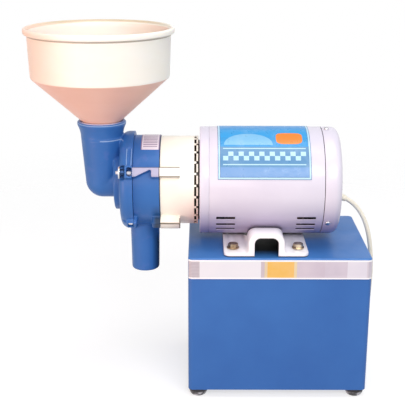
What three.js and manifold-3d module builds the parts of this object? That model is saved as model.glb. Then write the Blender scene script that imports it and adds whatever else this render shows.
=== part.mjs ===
import * as THREE from 'three';
import { mergeVertices } from 'three/addons/utils/BufferGeometryUtils.js';
import Module from 'manifold-3d';

const wasm = await Module();
wasm.setup();

// Electric soybean grinder: a plastic hopper feeds a cast cup, an auger pushes the soaked beans
// between two stones on the motor's own shaft, and the milk leaves by the spout under the drum.
// Millimetres, +Z up. X runs along the shaft, from the hopper to the back of the motor, and the
// front with its printed band faces -Y. X is counted from the left side of the stand.

// Clearances
const fitGap = 0.3;
const runGap = 0.8;
const overrun = 4;
const weldTolerance = 1e-4;

// Smoothness
const roundSides = 28;
const innerSides = 20;
const middleSides = 16;
const smallSides = 8;
const hexSides = 6;
const arcSteps = 3;
const domeSteps = 2;
const leadDivisions = 800;
const coilDivisions = 2400;

// Stand
const standWidth = 265;
const standDepth = 203;
const standHeight = 209;
const sheet = 2;
const cornerRadius = 7;
const edgeRadius = 2.4;
const lidSkirt = 31;
const ledgeHeight = 3;
const lidHidden = 5;
const rubberHeight = 13;
const rubberRadius = 14;
const rubberToeRadius = 12.6;
const rubberInset = 15;
const rubberHoleRadius = 5;
const rubberHoleDepth = 6;
const rearMargin = 26;
const rearOverlap = 8;
const rearPanelSheet = 1.5;
const bandSheet = 0.8;

// Motor
const motorInset = 16.3;
const motorRadius = 80;
const shaftAboveStand = 89;
const motorBodyLength = 178.7;
const shellWall = 2;
const shieldRim = 13.5;
const shieldPlate = 5;
const shieldRegister = 6;
const shieldChamfer = 1.5;
const shieldHoleCount = 4;
const shieldHoleRadius = 8;
const shieldHoleCircle = 52;
const capLength = 26;
const capWall = 3;
const capRound = 10;
const sleeveLength = 10;
const sleeveLap = 2;
const capVentCount = 8;
const capVentWidth = 6;
const capVentInner = 33;
const capVentOuter = 62;
const capScrewAngle = -36;
const capScrewSetback = 7.7;
const capScrewRadius = 2;
const capScrewHead = 4;
const capScrewHeadHeight = 2;
const capScrewLength = 8;
const slotLength = 27.4;
const slotHeight = 2.6;
const slotAngles = [-28.6, -39, -48.5];
const slotSetback = 24.1;
const plateInset = 26;
const plateLength = 133.2;
const plateSheet = 0.6;
const plateLowAngle = 15.4;
const plateHighAngle = 120;

// Motor, inside
const statorLength = 70;
const statorBore = 46;
const windingLength = 24;
const windingInner = 50;
const windingOuter = 70;
const rotorLength = 74;
const rotorGap = 0.9;
const shaftCore = 12.5;
const shaftFront = 10;
const shaftRear = 8.5;
const shaftStone = 8;
const shaftNose = 5;
const frontBearingRadius = 23.5;
const frontBearingWidth = 14;
const rearBearingRadius = 20;
const rearBearingWidth = 12;
const bearingGroove = 1.2;
const bearingLandShare = 0.3;
const housingWall = 4.5;
const fanRadius = 62;
const fanWidth = 17;
const fanDisc = 2;
const fanHub = 19;
const fanBlade = 2;
const fanBladeCount = 9;
const fanBladeInner = 26;
const fanSetback = 3;

// Motor foot
const footLength = 122;
const footDepth = 192;
const footPlate = 5;
const footCorner = 9;
const archHalf = 25.5;
const archHeight = 33.5;
const archRound = 11;
const archFillet = 6;
const tunnelHalf = 17.3;
const tunnelHeight = 28.5;
const tunnelRound = 8;
const footBoltSpan = 94.8;
const footBoltSide = 71.5;
const footBoltRadius = 4;
const footBoltHead = 7.4;
const footBoltHeadHeight = 5.3;
const footWasher = 9;
const footWasherHeight = 1.6;
const footBoltBelow = 8;
const weldNutRadius = 8;
const weldNutHeight = 6;

// Adapter between the motor and the drum
const adapterGap = 2.3;
const adapterLength = 55;
const adapterRadius = 65.8;
const adapterWall = 6;
const adapterFace = 7;
const adapterRegister = 60;
const adapterHole = 24;
const lugLength = 29;
const clampAngle = 23.2;
const dowelAngle = -44;
const boltCircle = 72;
const lugHalf = 7.5;
const lugCorner = 2.2;
const adapterScrewRadius = 2.5;
const adapterScrewHead = 4.3;
const adapterScrewHeadHeight = 5;
const adapterScrewSink = 6;
const adapterScrewGrip = 8;
const windowCount = 24;
const windowHeight = 14.2;
const windowWidth = 3.2;
const windowSetback = 5.6;
const notchDepth = 2.4;
const notchHeight = 5;

// Grinding drum and spout
const drumLength = 38.7;
const drumRadius = 67;
const drumBore = 60;
const drumBack = 6;
const drumLugLength = 28;
const drumLugNose = 4;
const drumLugTail = 2.5;
const drumLugStep = 0.4;
const drumRearLug = 12;
const dowelLug = 5;
const sealHousingRadius = 21;
const sealHousingLength = 3;
const spoutRadius = 21;
const spoutRootRadius = 22;
const spoutBore = 17;
const spoutDrop = 140;
const spoutSetIn = 25.5;
const spoutRoof = 80;
const throatHalf = 15;
const throatInset = 6;
const sealRadius = 17;
const sealWidth = 7;
const sealLip = 1.5;

// Feed cover: flange, dome, barrel and cup
const gasketSheet = 1.4;
const gasketInner = 60.5;
const gasketOuter = 63.5;
const flangeThickness = 9.5;
const flangeRadius = 73;
const flangeEar = 9.5;
const cavityDepth = 11;
const domeReach = 9.2;
const domeEdge = 56;
const bossReach = 19;
const bossFace = 44.5;
const bossFillet = 3;
const pocketHalf = 6;
const pocketFloor = 64.5;
const earPlate = 3.3;
const barrelRadius = 26;
const barrelBore = 20;
const cupSetOut = 48.7;
const cupRootRadius = 26;
const cupTopRadius = 32.2;
const cupWall = 4;
const cupRimRadius = 36.3;
const cupRimHeight = 12;
const cupCollarDrop = 14;
const cupCollar = 0.7;
const cupHeight = 91.5;

// Stones and auger
const stoneRadius = 55;
const stoneThickness = 12;
const stoneEye = 20.5;
const stoneDish = 4;
const stoneDishRadius = 38;
const furrowCount = 8;
const furrowWidth = 3;
const furrowDepth = 1.2;
const furrowLean = 18;
const carrierRadius = 50;
const carrierPlate = 6;
const carrierHub = 16;
const carrierHubLength = 11;
const augerRadius = 18.4;
const augerCore = 9.5;
const augerBlade = 5;
const augerHub = 13;
const augerTurns = 1.5;
const augerSteps = 20;
const augerReach = 9;
const noseGrip = 34;

// Clamps
const studRadius = 3;
const studGrip = 9;
const studStub = 4;
const handNutRadius = 9.2;
const handNutRim = 2.4;
const handNutHub = 4.6;
const handNutHubLength = 6.4;
const handNutGrips = 8;
const handNutScallop = 1.1;
const handNutScallopSink = 0.3;
const adjusterRadius = 5.7;
const adjusterWidth = 6;
const dowelTail = 3;

// Hopper
const hopperRim = 108.8;
const hopperMouth = 104.7;
const hopperWallTop = 103.6;
const hopperWallFoot = 101.1;
const hopperSheet = 2.4;
const hopperHeight = 135.5;
const hopperWallHeight = 63.2;
const hopperBead = 8.5;
const hopperBeadRound = 2.5;
const hopperSeat = 31;
const hopperConeRound = 5;
const spigotRadius = 25.4;
const spigotDrop = 22;
const spigotChamfer = 2;

// Mains lead
const cordDiameter = 7;
const cordSides = 8;
const leadSteps = 32;
const glandY = 30;
const glandDrop = 30;
const glandTilt = 22;
const glandBase = 9;
const glandBaseLength = 3.5;
const glandLength = 23;
const glandRoot = 6.5;
const glandTip = 4.4;
const turnPitch = 7.6;
const coilMiddle = 41;
const turnsPerLayer = 2.5;
const coilLead = 8;
const coilTail = 42;
const coilSides = 6;
const coilStepsPerTurn = 24;
const coilX = 221.5;
const coilY = 170;
const tieSheet = 1;
const tieGap = 0.8;
const tieWidth = 8;
const tieCorner = 3;
const plugRadius = 12.4;
const plugNeck = 4.6;
const plugNeckLength = 18;
const plugBody = 26;
const plugFace = 9.5;
const pinRadius = 2.4;
const pinLength = 19;
const pinSpan = 19;

// Route of the lead from the gland to the coil, hanging beside the stand and then on the floor
const leadRoute = [
  [252.2, 30, 266.4],
  [261.9, 30, 256.6],
  [270.4, 30, 243.4],
  [277.4, 30, 226.5],
  [282.3, 30, 206.6],
  [285.3, 30, 187],
  [287, 30.4, 165],
  [287.6, 31.4, 140],
  [287.2, 33.5, 113],
  [285.8, 38, 85],
  [283, 46, 58],
  [279.4, 58, 34.5],
  [276, 74, 17],
  [273.8, 93, 7.4],
  [272.6, 113, 4.6],
  [272, 134, 4.6],
];

// Places worked out from the sizes above. The two upper lugs of the cover are clamped with studs,
// and the two lower ones sit on dowels.
const clampAngles = [clampAngle, 180 - clampAngle];
const dowelAngles = [dowelAngle, 180 - dowelAngle];
const lugAngles = [...clampAngles, ...dowelAngles];
const standTop = rubberHeight + standHeight;
const shaftHeight = standTop + shaftAboveStand;
const skirtFoot = standTop - lidSkirt;
const motorFront = motorInset;
const shellFront = motorFront + shieldRim + fitGap;
const shellEnd = motorFront + motorBodyLength;
const capEnd = shellEnd + capLength;
const shellMiddle = (shellFront + shellEnd) / 2;
const shellBore = motorRadius - shellWall;
const adapterBack = motorFront - adapterGap;
const adapterFront = adapterBack - adapterLength;
const drumBackFace = adapterFront - fitGap;
const drumFront = drumBackFace - drumLength;
const coverBack = drumFront - gasketSheet - 2 * fitGap;
const flangeFront = coverBack - flangeThickness;
const cavityFloor = coverBack - cavityDepth;
const domeFront = flangeFront - domeReach;
const bossFront = flangeFront - bossReach;
const cupX = drumFront - cupSetOut;
const fixedStoneBack = cavityFloor - fitGap + stoneThickness + 2 * fitGap;
const runningStoneFront = fixedStoneBack + runGap;
const runningStoneBack = runningStoneFront + stoneThickness;
const carrierFront = runningStoneBack + fitGap;
const carrierBack = carrierFront + carrierPlate + carrierHubLength;
const frontBearingStart = motorFront + shieldPlate + fitGap;
const frontBearingEnd = frontBearingStart + frontBearingWidth;
const rearBearingEnd = capEnd - capWall - fitGap;
const rearBearingStart = rearBearingEnd - rearBearingWidth;
const statorStart = shellMiddle - statorLength / 2;
const statorEnd = shellMiddle + statorLength / 2;
const spoutX = drumBackFace - spoutSetIn;
const cordRadius = cordDiameter / 2;
const coilOuter = coilMiddle + turnPitch * turnsPerLayer / 2;
const lowerLayer = 2 * fitGap + tieSheet + cordRadius;
const upperLayer = lowerLayer + turnPitch;
const hopperLeft = cupX - hopperRim;

// Solids

// Shared corners only, so that a closed surface joins up, and no triangle without area
function weld(geometry) {
  const bare = geometry.clone();
  bare.deleteAttribute('normal');
  bare.deleteAttribute('uv');
  const merged = mergeVertices(bare, weldTolerance);
  const corners = merged.index.array;
  const kept = [];
  for (let i = 0; i < corners.length; i += 3) {
    const [a, b, c] = [corners[i], corners[i + 1], corners[i + 2]];
    if (a !== b && b !== c && c !== a) kept.push(a, b, c);
  }
  return { positions: merged.attributes.position.array, triangles: kept };
}

// Six times the signed volume: negative where the faces point inwards
function signedVolume({ positions, triangles }) {
  const [a, b, c] = [new THREE.Vector3(), new THREE.Vector3(), new THREE.Vector3()];
  let sum = 0;
  for (let i = 0; i < triangles.length; i += 3) {
    a.fromArray(positions, 3 * triangles[i]);
    b.fromArray(positions, 3 * triangles[i + 1]);
    c.fromArray(positions, 3 * triangles[i + 2]);
    sum += a.dot(b.cross(c));
  }
  return sum;
}

function solid(geometry) {
  const mesh = weld(geometry);
  if (signedVolume(mesh) < 0) mesh.triangles.reverse();
  return new wasm.Manifold(
    new wasm.Mesh({
      numProp: 3,
      vertProperties: new Float32Array(mesh.positions),
      triVerts: new Uint32Array(mesh.triangles),
    }),
  );
}

function geometryOf(manifold) {
  const { vertProperties, triVerts } = manifold.getMesh();
  const geometry = new THREE.BufferGeometry();
  geometry.setAttribute('position', new THREE.BufferAttribute(vertProperties, 3));
  geometry.setIndex(new THREE.BufferAttribute(triVerts, 1));
  return geometry;
}

function join(first, ...others) {
  return others.reduce((sum, other) => sum.add(other), first);
}

function cut(first, ...others) {
  return others.reduce((rest, other) => rest.subtract(other), first);
}

// A block between two corners
function block(x0, x1, y0, y1, z0, z1) {
  const geometry = new THREE.BoxGeometry(x1 - x0, y1 - y0, z1 - z0);
  geometry.translate((x0 + x1) / 2, (y0 + y1) / 2, (z0 + z1) / 2);
  return solid(geometry);
}

// Points [along, radius], turned about the X axis
function turnedX(points, sides = roundSides) {
  const outline = points.map(([along, radius]) => new THREE.Vector2(radius, along));
  const geometry = new THREE.LatheGeometry(outline, sides);
  geometry.rotateZ(-Math.PI / 2);
  return solid(geometry);
}

// Points [radius, height], turned about the Z axis
function turnedZ(points, sides = roundSides) {
  const outline = points.map(([radius, height]) => new THREE.Vector2(radius, height));
  const geometry = new THREE.LatheGeometry(outline, sides);
  geometry.rotateX(Math.PI / 2);
  return solid(geometry);
}

function rodX(x0, x1, radius, sides = smallSides) {
  return turnedX([[x0, 0], [x0, radius], [x1, radius], [x1, 0]], sides);
}

function ringX(x0, x1, inner, outer, sides = roundSides) {
  return turnedX([[x0, inner], [x0, outer], [x1, outer], [x1, inner], [x0, inner]], sides);
}

function rodZ(radius, z0, z1, sides = smallSides) {
  return turnedZ([[0, z0], [radius, z0], [radius, z1], [0, z1]], sides);
}

function moved(manifold, x, y, z) {
  return manifold.translate([x, y, z]);
}

// Angles are counted upwards from the front, as seen from the hopper's end
function onAngle(angle, radius) {
  const turn = THREE.MathUtils.degToRad(angle);
  return [-radius * Math.cos(turn), radius * Math.sin(turn)];
}

// A block that stands out from the shaft line at an angle
function radialBlock(angle, inner, outer, width, x0, x1) {
  const geometry = new THREE.BoxGeometry(x1 - x0, outer - inner, width);
  geometry.translate((x0 + x1) / 2, -(inner + outer) / 2, 0);
  geometry.rotateX(-THREE.MathUtils.degToRad(angle));
  return solid(geometry);
}

function rodAt(angle, circle, x0, x1, radius, sides = smallSides) {
  const [y, z] = onAngle(angle, circle);
  return moved(rodX(x0, x1, radius, sides), 0, y, z);
}

// A lug as cast on a ring for a bolt: a block with rounded corners
function lugAt(angle, root, x0, x1, half) {
  const outer = boltCircle + half;
  const geometry = new THREE.ExtrudeGeometry(roundedRectangle(2 * half, outer - root, lugCorner), {
    depth: x1 - x0,
    bevelEnabled: false,
    curveSegments: arcSteps,
  });
  geometry.rotateY(Math.PI / 2);
  geometry.translate(x0, -(root + outer) / 2, 0);
  geometry.rotateX(-THREE.MathUtils.degToRad(angle));
  return solid(geometry);
}

// Points of a quarter round from one direction to the next
function arc(centreA, centreB, radius, startDegrees, endDegrees, steps = arcSteps) {
  const points = [];
  for (let i = 0; i <= steps; i++) {
    const turn = THREE.MathUtils.degToRad(startDegrees + (endDegrees - startDegrees) * i / steps);
    points.push([centreA + radius * Math.cos(turn), centreB + radius * Math.sin(turn)]);
  }
  return points;
}

function roundedRectangle(width, depth, radius) {
  const [x, y] = [width / 2, depth / 2];
  const shape = new THREE.Shape();
  shape.moveTo(x - radius, -y);
  shape.absarc(x - radius, radius - y, radius, -Math.PI / 2, 0);
  shape.absarc(x - radius, y - radius, radius, 0, Math.PI / 2);
  shape.absarc(radius - x, y - radius, radius, Math.PI / 2, Math.PI);
  shape.absarc(radius - x, radius - y, radius, Math.PI, 3 * Math.PI / 2);
  shape.closePath();
  return shape;
}

// An upright prism of the stand's plan, drawn in from its outside by an inset
function standPrism(inset, z0, z1) {
  const outline = roundedRectangle(
    standWidth - 2 * inset,
    standDepth - 2 * inset,
    Math.max(cornerRadius - inset, sheet),
  );
  const geometry = new THREE.ExtrudeGeometry(outline, {
    depth: z1 - z0,
    bevelEnabled: false,
    curveSegments: arcSteps,
  });
  geometry.translate(standWidth / 2, 0, z0);
  return solid(geometry);
}

const root = new THREE.Group();
const shaftLine = new THREE.Group();
shaftLine.position.z = shaftHeight;
root.add(shaftLine);

function paint(colour, roughness, metalness) {
  return new THREE.MeshStandardMaterial({ color: colour, roughness, metalness });
}

const blueEnamel = paint(0x3f6fb6, 0.35, 0);
const bluePaint = paint(0x3c6db5, 0.4, 0);
const ivoryPaint = paint(0xfdf6e4, 0.45, 0);
const ivoryPlastic = paint(0xfbeedd, 0.5, 0);
const greyPaint = paint(0xdcd3e0, 0.4, 0);
const whitePaint = paint(0xf2eef4, 0.4, 0);
const rubber = paint(0x2c2b30, 0.8, 0);
const chrome = paint(0xd8dade, 0.2, 1);
const steel = paint(0xa8abb0, 0.35, 1);
const copper = paint(0xb86b3c, 0.4, 1);
const stone = paint(0x8b8880, 0.9, 0);
const plateBlue = paint(0x2a93dc, 0.35, 0);
const bandPrint = paint(0xe9dde6, 0.4, 0);
const fanPlastic = paint(0x4a4c50, 0.6, 0);
const cordPlastic = paint(0xf3ecdc, 0.5, 0);

function piece(name, manifold, material, group = root) {
  const mesh = new THREE.Mesh(geometryOf(manifold), material);
  mesh.name = name;
  group.add(mesh);
  return mesh;
}

// Stand

function footBoltPlaces() {
  const places = [];
  for (const along of [-1, 1])
    for (const side of [-1, 1])
      places.push([shellMiddle + along * footBoltSpan / 2, side * footBoltSide]);
  return places;
}

// A folded tray with a rounded top edge, and a nut welded under each bolt hole
function makeLid() {
  const outline = roundedRectangle(
    standWidth - 2 * edgeRadius,
    standDepth - 2 * edgeRadius,
    cornerRadius - edgeRadius,
  );
  const geometry = new THREE.ExtrudeGeometry(outline, {
    depth: lidSkirt,
    bevelEnabled: true,
    bevelSize: edgeRadius,
    bevelThickness: edgeRadius,
    bevelSegments: 2,
    curveSegments: arcSteps,
  });
  geometry.translate(standWidth / 2, 0, skirtFoot - edgeRadius);
  const under = block(
    -overrun, standWidth + overrun, -standDepth, standDepth, skirtFoot - lidSkirt, skirtFoot,
  );
  const hollow = standPrism(sheet, skirtFoot - overrun, standTop - sheet);
  let lid = cut(solid(geometry), under, hollow);
  for (const [x, y] of footBoltPlaces()) {
    const nut = rodZ(weldNutRadius, standTop - sheet - weldNutHeight, standTop - sheet / 2, hexSides);
    const hole = rodZ(footBoltRadius + fitGap, skirtFoot - overrun, standTop + overrun);
    lid = cut(join(lid, moved(nut, x, y, 0)), moved(hole, x, y, 0));
  }
  return lid;
}

// Four walls with a ledge that carries the lid's skirt and a neck inside the skirt
function makeCabinet() {
  const wallTop = skirtFoot - fitGap;
  const neck = sheet + fitGap;
  const walls = cut(
    standPrism(0, rubberHeight, wallTop),
    standPrism(sheet, rubberHeight - overrun, wallTop + overrun),
  );
  const ledge = cut(
    standPrism(0, wallTop - ledgeHeight, wallTop),
    standPrism(neck + sheet, wallTop - ledgeHeight - overrun, wallTop + overrun),
  );
  const collar = cut(
    standPrism(neck, wallTop - ledgeHeight, standTop - sheet - lidHidden),
    standPrism(neck + sheet, wallTop - ledgeHeight - overrun, standTop),
  );
  const opening = block(
    rearMargin, standWidth - rearMargin,
    standDepth / 2 - sheet - overrun, standDepth / 2 + overrun,
    rubberHeight + rearMargin, wallTop - rearMargin,
  );
  return cut(join(walls, ledge, collar), opening);
}

function makeRearPanel() {
  const y1 = standDepth / 2 - sheet - fitGap;
  const margin = rearMargin - rearOverlap;
  return block(
    margin, standWidth - margin,
    y1 - rearPanelSheet, y1,
    rubberHeight + margin, skirtFoot - fitGap - margin,
  );
}

// A rubber foot with a recess for its screw
function makeRubberFoot() {
  return turnedZ([
    [0, rubberHoleDepth],
    [rubberHoleRadius, rubberHoleDepth],
    [rubberHoleRadius, 0],
    [rubberToeRadius, 0],
    [rubberRadius, rubberHeight - rubberHoleDepth / 2],
    [rubberRadius, rubberHeight - fitGap],
    [0, rubberHeight - fitGap],
  ], smallSides);
}

piece('stand_lid', makeLid(), bluePaint);
piece('stand_cabinet', makeCabinet(), bluePaint);
piece('stand_rear_panel', makeRearPanel(), bluePaint);
piece(
  'stand_base_plate',
  standPrism(sheet + fitGap, rubberHeight, rubberHeight + sheet),
  bluePaint,
);
let rubberNumber = 0;
for (const x of [rubberInset, standWidth - rubberInset])
  for (const side of [-1, 1]) {
    rubberNumber += 1;
    const y = side * (standDepth / 2 - rubberInset);
    piece(`rubber_foot_${rubberNumber}`, moved(makeRubberFoot(), x, y, 0), rubber);
  }
piece(
  'front_band',
  block(
    0, standWidth,
    -standDepth / 2 - fitGap - bandSheet, -standDepth / 2 - fitGap,
    skirtFoot, standTop - edgeRadius,
  ),
  bandPrint,
);

// Motor housing

// Three horizontal louvres at each end of each side
function louvrePlaces() {
  const places = [];
  for (const angle of slotAngles)
    for (const turn of [angle, -180 - angle])
      for (const x of [motorFront + slotSetback, 2 * shellMiddle - motorFront - slotSetback - slotLength])
        places.push([turn, x]);
  return places;
}

function makeShell() {
  const sleeve = shellBore - fitGap - capWall + shellWall;
  let shell = turnedX([
    [shellFront, shellBore],
    [shellFront, motorRadius],
    [shellEnd, motorRadius],
    [shellEnd, sleeve],
    [shellEnd + sleeveLength, sleeve],
    [shellEnd + sleeveLength, sleeve - shellWall],
    [shellEnd - sleeveLap, sleeve - shellWall],
    [shellEnd - sleeveLap, shellBore],
    [shellFront, shellBore],
  ]);
  for (const [turn, x] of louvrePlaces())
    shell = cut(
      shell,
      radialBlock(
        turn, shellBore - overrun, motorRadius + overrun, slotHeight, x, x + slotLength,
      ),
    );
  for (const turn of capScrewTurns())
    shell = cut(shell, capScrewHole(turn));
  return shell;
}

function capScrewTurns() {
  return [0, 1, 2].map((i) => capScrewAngle + 120 * i);
}

// A rod that points in to the shaft line
function radialRod(turn, x, radius, inner, outer) {
  const rod = rodZ(radius, inner, outer);
  const [y, z] = onAngle(turn, 1);
  return moved(rod.rotate([THREE.MathUtils.radToDeg(Math.atan2(-y, z)), 0, 0]), x, 0, 0);
}

function capScrewHole(turn) {
  return radialRod(
    turn, shellEnd + capScrewSetback, capScrewRadius + fitGap,
    motorRadius - capScrewLength - overrun, motorRadius + overrun,
  );
}

function makeCapScrew(turn) {
  const x = shellEnd + capScrewSetback;
  const seat = motorRadius + fitGap;
  return join(
    radialRod(turn, x, capScrewRadius, motorRadius - capScrewLength, seat + capScrewHeadHeight / 2),
    radialRod(turn, x, capScrewHead, seat, seat + capScrewHeadHeight),
  );
}

// Front shield: rim, spigot into the shell, bearing housing and air holes
function makeFrontShield() {
  const face = motorFront + shieldPlate;
  const rimEnd = motorFront + shieldRim;
  const spigot = shellBore - fitGap;
  const housing = frontBearingRadius + fitGap;
  let shield = turnedX([
    [motorFront, shaftCore],
    [motorFront, motorRadius - shieldChamfer],
    [motorFront + shieldChamfer, motorRadius],
    [rimEnd, motorRadius],
    [rimEnd, spigot],
    [rimEnd + shieldRegister, spigot],
    [rimEnd + shieldRegister, spigot - capWall],
    [face, spigot - capWall],
    [face, housing + housingWall],
    [frontBearingEnd, housing + housingWall],
    [frontBearingEnd, housing],
    [face, housing],
    [face, shaftCore],
    [motorFront, shaftCore],
  ]);
  for (let i = 0; i < shieldHoleCount; i++) {
    const turn = 360 * i / shieldHoleCount;
    shield = cut(
      shield,
      rodAt(turn, shieldHoleCircle, motorFront - overrun, face + overrun, shieldHoleRadius),
    );
  }
  return shield;
}

// Rear cap: rounded edge, bearing housing and slots for the fan's air
function makeEndCap() {
  const housing = rearBearingRadius + fitGap;
  const inside = motorRadius - capWall;
  const cornerX = capEnd - capRound;
  const cornerR = motorRadius - capRound;
  const innerFace = capEnd - capWall;
  const outerArc = arc(cornerX, cornerR, capRound, 0, 90);
  const innerArc = arc(cornerX, cornerR, capRound - capWall, 90, 0);
  let cap = turnedX([
    [capEnd, 0],
    ...outerArc,
    [shellEnd + fitGap, motorRadius],
    [shellEnd + fitGap, inside],
    ...innerArc,
    [innerFace, housing + housingWall],
    [rearBearingStart, housing + housingWall],
    [rearBearingStart, housing],
    [innerFace, housing],
    [innerFace, 0],
  ]);
  for (let i = 0; i < capVentCount; i++) {
    const turn = 360 * (i + 1 / 2) / capVentCount;
    cap = cut(
      cap,
      radialBlock(
        turn, capVentInner, capVentOuter, capVentWidth, innerFace - overrun, capEnd + overrun,
      ),
    );
  }
  for (const turn of capScrewTurns())
    cap = cut(cap, capScrewHole(turn));
  return cap;
}

// The foot: a plate pressed up into an arch that runs across under the motor
function makeMotorFoot() {
  const half = footLength / 2;
  const outline = new THREE.Shape();
  outline.moveTo(-half, 0);
  outline.lineTo(-tunnelHalf, 0);
  outline.lineTo(-tunnelHalf, tunnelHeight - tunnelRound);
  outline.quadraticCurveTo(-tunnelHalf, tunnelHeight, tunnelRound - tunnelHalf, tunnelHeight);
  outline.lineTo(tunnelHalf - tunnelRound, tunnelHeight);
  outline.quadraticCurveTo(tunnelHalf, tunnelHeight, tunnelHalf, tunnelHeight - tunnelRound);
  outline.lineTo(tunnelHalf, 0);
  outline.lineTo(half, 0);
  outline.lineTo(half, footPlate);
  outline.lineTo(archHalf + archFillet, footPlate);
  outline.quadraticCurveTo(archHalf, footPlate, archHalf, footPlate + archFillet);
  outline.lineTo(archHalf, archHeight - archRound);
  outline.quadraticCurveTo(archHalf, archHeight, archHalf - archRound, archHeight);
  outline.lineTo(archRound - archHalf, archHeight);
  outline.quadraticCurveTo(-archHalf, archHeight, -archHalf, archHeight - archRound);
  outline.lineTo(-archHalf, footPlate + archFillet);
  outline.quadraticCurveTo(-archHalf, footPlate, -archHalf - archFillet, footPlate);
  outline.lineTo(-half, footPlate);
  outline.closePath();
  const strip = new THREE.ExtrudeGeometry(outline, {
    depth: footDepth,
    bevelEnabled: false,
    curveSegments: arcSteps,
  });
  strip.rotateX(Math.PI / 2);
  strip.translate(shellMiddle, footDepth / 2, standTop + fitGap);
  const plan = new THREE.ExtrudeGeometry(roundedRectangle(footLength, footDepth, footCorner), {
    depth: archHeight + 2 * overrun,
    bevelEnabled: false,
    curveSegments: arcSteps,
  });
  plan.translate(shellMiddle, 0, standTop - overrun);
  const saddle = moved(
    rodX(shellMiddle - footLength, shellMiddle + footLength, motorRadius + fitGap, roundSides),
    0, 0, shaftHeight,
  );
  let foot = cut(solid(strip).intersect(solid(plan)), saddle);
  for (const [x, y] of footBoltPlaces()) {
    const hole = rodZ(footBoltRadius + fitGap, standTop - overrun, standTop + footPlate + overrun);
    foot = cut(foot, moved(hole, x, y, 0));
  }
  return foot;
}

// A hexagon bolt with a washer under its head
function makeFootBolt() {
  const seat = standTop + footPlate + 2 * fitGap;
  const washerTop = seat + footWasherHeight;
  return join(
    rodZ(footBoltRadius, standTop - footBoltBelow, washerTop),
    rodZ(footWasher, seat, washerTop),
    rodZ(footBoltHead, washerTop - fitGap, washerTop + footBoltHeadHeight, hexSides),
  );
}

// A thin plate bent round the shell
function makeNamePlate() {
  const inner = motorRadius + fitGap;
  const outer = inner + plateSheet;
  const [from, to] = [plateLowAngle, plateHighAngle].map(THREE.MathUtils.degToRad);
  const outline = new THREE.Shape();
  outline.moveTo(-outer * Math.cos(from), outer * Math.sin(from));
  outline.absarc(0, 0, outer, Math.PI - from, Math.PI - to, true);
  outline.absarc(0, 0, inner, Math.PI - to, Math.PI - from, false);
  outline.closePath();
  const geometry = new THREE.ExtrudeGeometry(outline, {
    depth: plateLength,
    bevelEnabled: false,
    curveSegments: 4 * arcSteps,
  });
  geometry.rotateX(Math.PI / 2);
  geometry.rotateZ(Math.PI / 2);
  geometry.translate(motorFront + plateInset, 0, 0);
  return solid(geometry);
}

piece('motor_shell', makeShell(), greyPaint, shaftLine);
piece('motor_front_shield', makeFrontShield(), greyPaint, shaftLine);
piece('motor_end_cap', makeEndCap(), greyPaint, shaftLine);
capScrewTurns().forEach((turn, i) => {
  piece(`cap_screw_${i + 1}`, makeCapScrew(turn), chrome, shaftLine);
});
piece('motor_foot', makeMotorFoot(), whitePaint);
footBoltPlaces().forEach(([x, y], i) => {
  piece(`foot_bolt_${i + 1}`, moved(makeFootBolt(), x, y, 0), chrome);
});
piece('motor_name_plate', makeNamePlate(), plateBlue, shaftLine);

// Motor, inside

function makeWinding(x0, x1) {
  const middle = (windingInner + windingOuter) / 2;
  const half = (windingOuter - windingInner) / 2;
  const round = Math.min(half, (x1 - x0) / 2) / 2;
  return turnedX([
    [x0, middle],
    [x0 + round, middle + half],
    [x1 - round, middle + half],
    [x1, middle],
    [x1 - round, middle - half],
    [x0 + round, middle - half],
    [x0, middle],
  ], middleSides);
}

// Stepped shaft from the rear bearing through the motor to the auger
function makeShaft() {
  const nose = carrierFront - noseGrip;
  return turnedX([
    [nose, 0],
    [nose, shaftNose],
    [carrierFront + fitGap, shaftNose],
    [carrierFront + fitGap, shaftStone],
    [carrierBack + fitGap, shaftStone],
    [carrierBack + fitGap, shaftFront],
    [frontBearingEnd + fitGap, shaftFront],
    [frontBearingEnd + fitGap, shaftCore],
    [rearBearingStart - fitGap, shaftCore],
    [rearBearingStart - fitGap, shaftRear],
    [rearBearingEnd - fitGap, shaftRear],
    [rearBearingEnd - fitGap, 0],
  ], middleSides);
}

// A ball bearing, with the groove between its two rings on its open face
function makeBearing(x0, width, bore, outer) {
  const inner = bore + fitGap;
  const land = (outer - inner) * bearingLandShare;
  const x1 = x0 + width;
  return turnedX([
    [x0, inner],
    [x0, inner + land],
    [x0 + bearingGroove, inner + land],
    [x0 + bearingGroove, outer - land],
    [x0, outer - land],
    [x0, outer],
    [x1, outer],
    [x1, inner],
    [x0, inner],
  ], middleSides);
}

function makeFan() {
  const back = rearBearingStart - fanSetback;
  const front = back - fanWidth;
  let fan = join(
    ringX(front, back, shaftCore + fitGap, fanHub, middleSides),
    ringX(front, front + fanDisc, shaftCore + fitGap, fanRadius, middleSides),
  );
  for (let i = 0; i < fanBladeCount; i++)
    fan = join(
      fan,
      radialBlock(
        360 * i / fanBladeCount, fanBladeInner, fanRadius - fanDisc, fanBlade,
        front + fanDisc / 2, back,
      ),
    );
  return fan;
}

piece(
  'stator_core',
  ringX(statorStart, statorEnd, statorBore, shellBore - fitGap),
  steel,
  shaftLine,
);
piece(
  'stator_winding_front',
  makeWinding(statorStart - fitGap - windingLength, statorStart - fitGap),
  copper,
  shaftLine,
);
piece(
  'stator_winding_rear',
  makeWinding(statorEnd + fitGap, statorEnd + fitGap + windingLength),
  copper,
  shaftLine,
);
piece(
  'rotor_core',
  ringX(
    shellMiddle - rotorLength / 2, shellMiddle + rotorLength / 2,
    shaftCore + fitGap, statorBore - rotorGap, innerSides,
  ),
  steel,
  shaftLine,
);
piece('motor_shaft', makeShaft(), steel, shaftLine);
piece(
  'front_bearing',
  makeBearing(frontBearingStart, frontBearingWidth - fitGap, shaftFront, frontBearingRadius),
  steel,
  shaftLine,
);
piece(
  'rear_bearing',
  makeBearing(rearBearingStart, rearBearingWidth, shaftRear, rearBearingRadius),
  steel,
  shaftLine,
);
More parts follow.
